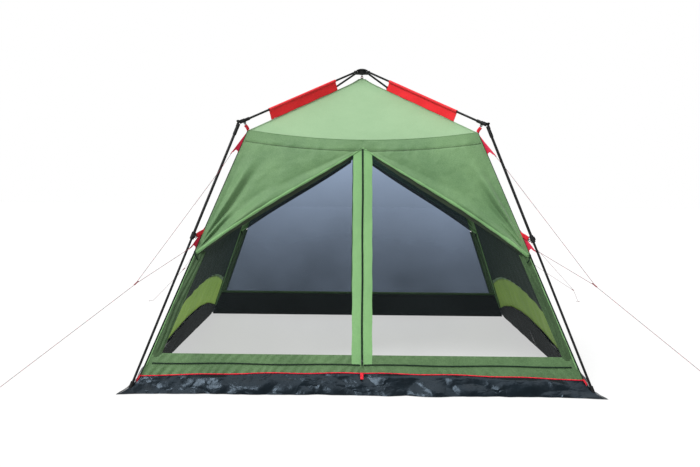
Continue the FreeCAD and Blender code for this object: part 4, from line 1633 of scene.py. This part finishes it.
@dataclass
class FrameFittings:
    """Finish of the steel frame, with a turned cap on the hub and the loop under it."""

    finishes: Finishes
    nodes: Dict[str, bpy.types.Object]

    def paint(self, prefix: str, material: bpy.types.Material) -> None:
        """Give one finish to every node whose name starts with a prefix."""
        for name, item in self.nodes.items():
            if name.startswith(prefix):
                for place in item.material_slots:
                    place.material = material

    def build_cap(self) -> None:
        """Spin the domed hub cap."""
        base = PIVOT_Z + 0.0142
        profile = ((0.0, 0.0), (0.044, 0.0), (0.046, 0.002), (0.046, 0.006), (0.044, 0.0082),
                   (0.036, 0.0095), (0.030, 0.0135), (0.021, 0.0160), (0.010, 0.0165),
                   (0.0085, 0.0150), (0.0, 0.0150))
        mesh = bmesh.new()
        verts = [mesh.verts.new((r, 0, base + z)) for r, z in profile]
        edges = [mesh.edges.new(pair) for pair in zip(verts, verts[1:])]
        bmesh.ops.spin(mesh, geom=verts + edges, cent=(0, 0, 0), axis=(0, 0, 1),
                       angle=math.tau, steps=64, use_merge=True)
        bmesh.ops.remove_doubles(mesh, verts=mesh.verts, dist=0.00001)
        bmesh.ops.recalc_face_normals(mesh, faces=mesh.faces)
        cap = shown("hub_dome", mesh, self.finishes.nylon)
        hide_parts("hub_cap")
        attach(cap, "hub")

    def build_loop(self) -> None:
        """Make the red loop that hangs the roof's peak from the hub's hook."""
        line = []
        for step in range(33):
            angle = math.tau * step / 32
            line.append(Vector((0.0085 * math.sin(angle), 0.0,
                                ROOF_APEX_Z + 0.010 - 0.012 * math.cos(angle))))
        loop = tube_along("apex_loop", line, lambda s: 0.0022, self.finishes.webbing, 8)
        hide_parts("webbing_straps")
        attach(loop, "hub")

    def build(self) -> None:
        """Dress the frame."""
        for prefix, material in (("arm_tube", self.finishes.steel),
                                 ("upper_leg", self.finishes.steel),
                                 ("lower_leg", self.finishes.steel),
                                 ("elbow_socket", self.finishes.nylon),
                                 ("knee_knuckle", self.finishes.nylon),
                                 ("lock_collar", self.finishes.nylon),
                                 ("foot_cap", self.finishes.nylon),
                                 ("lock_button", self.finishes.acetal),
                                 ("hub_body", self.finishes.nylon),
                                 ("canopy_hook", self.finishes.nylon),
                                 ("hub_pins", self.finishes.rivet)):
            self.paint(prefix, material)
        self.build_cap()
        self.build_loop()
        LOG.info("frame dressed")


# ------------------------------------------------------------------ stage

@dataclass
class Studio:
    """Pale floor, soft light and the camera."""

    floor_half: float = 30.0

    def build_floor(self) -> None:
        """Make the plain pale floor."""
        mesh = bmesh.new()
        bmesh.ops.create_grid(mesh, x_segments=1, y_segments=1, size=self.floor_half)
        bmesh.ops.translate(mesh, vec=(0, 0, -0.0005), verts=mesh.verts)
        material, tree = started("matt_white_paper_floor")
        face = add(tree, "ShaderNodeBsdfPrincipled",
                   {"Base Color": linear("8C8C8C"), "Roughness": 0.9,
                    "Specular IOR Level": 0.1, "Emission Color": linear("FFFFFF"),
                    "Emission Strength": 0.61})
        finished(tree, face.outputs[0])
        shown("studio_floor", mesh, material)

    def lamp(self, name: str, place: Sequence[float], spread: float, power: float) -> None:
        """Add one broad soft light that looks at the tent from a direction."""
        data = bpy.data.lights.new(name, "SUN")
        data.angle = math.radians(spread)
        data.energy = power
        lamp = bpy.data.objects.new(name, data)
        lamp.location = place
        lamp.rotation_euler = (-Vector(place)).to_track_quat("-Z", "Y").to_euler()
        bpy.context.scene.collection.objects.link(lamp)

    def build(self) -> None:
        """Make the stage."""
        self.build_floor()
        self.lamp("key_softbox", (-4.0, -4.6, 8.0), 24.0, 3.0)
        self.lamp("top_softbox", (1.0, 0.5, 9.0), 50.0, 1.4)
        world = bpy.data.worlds.new("studio_air")
        world.use_nodes = True
        tree = world.node_tree
        tree.nodes.clear()
        path = add(tree, "ShaderNodeLightPath")
        level = add(tree, "ShaderNodeMapRange",
                    {"Value": path.outputs["Is Camera Ray"], "To Min": 0.46, "To Max": 1.0})
        air = add(tree, "ShaderNodeBackground",
                  {"Color": (1.0, 1.0, 1.0, 1.0), "Strength": level.outputs[0]})
        add(tree, "ShaderNodeOutputWorld", {"Surface": air.outputs[0]})
        bpy.context.scene.world = world
        bpy.context.scene.view_settings.view_transform = "Standard"
        data = bpy.data.cameras.new("camera")
        data.sensor_width = BACK_MM
        data.lens = LENS_MM
        data.shift_y = LENS_SHIFT
        camera = bpy.data.objects.new("camera", data)
        camera.location = (-0.09, -6.70, 1.395)
        turn = Matrix.Rotation(math.radians(90.0), 3, "X") @ Matrix.Rotation(
            math.radians(0.6), 3, "Z")
        camera.rotation_euler = turn.to_euler()
        bpy.context.scene.collection.objects.link(camera)
        bpy.context.scene.camera = camera


def main() -> None:
    """Build the whole scene."""
    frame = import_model()
    finishes = Finishes()
    FrameFittings(finishes, frame["nodes"]).build()
    Roof(finishes).build()
    for side in (Side.FRONT, Side.REAR):
        DoorWall(side, finishes).build()
    for side in (Side.LEFT, Side.RIGHT):
        SideWall(side, finishes).build()
    Edges(finishes).build()
    for corner in Corner:
        CornerTrim(corner, finishes).build()
    for corner in (Corner.FRONT_LEFT, Corner.FRONT_RIGHT, Corner.REAR_RIGHT, Corner.REAR_LEFT):
        GuyLine(corner, finishes, *GUY_PLAN[corner.label]).build()
    Studio().build()
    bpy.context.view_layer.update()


if __name__ == "__main__":
    main()
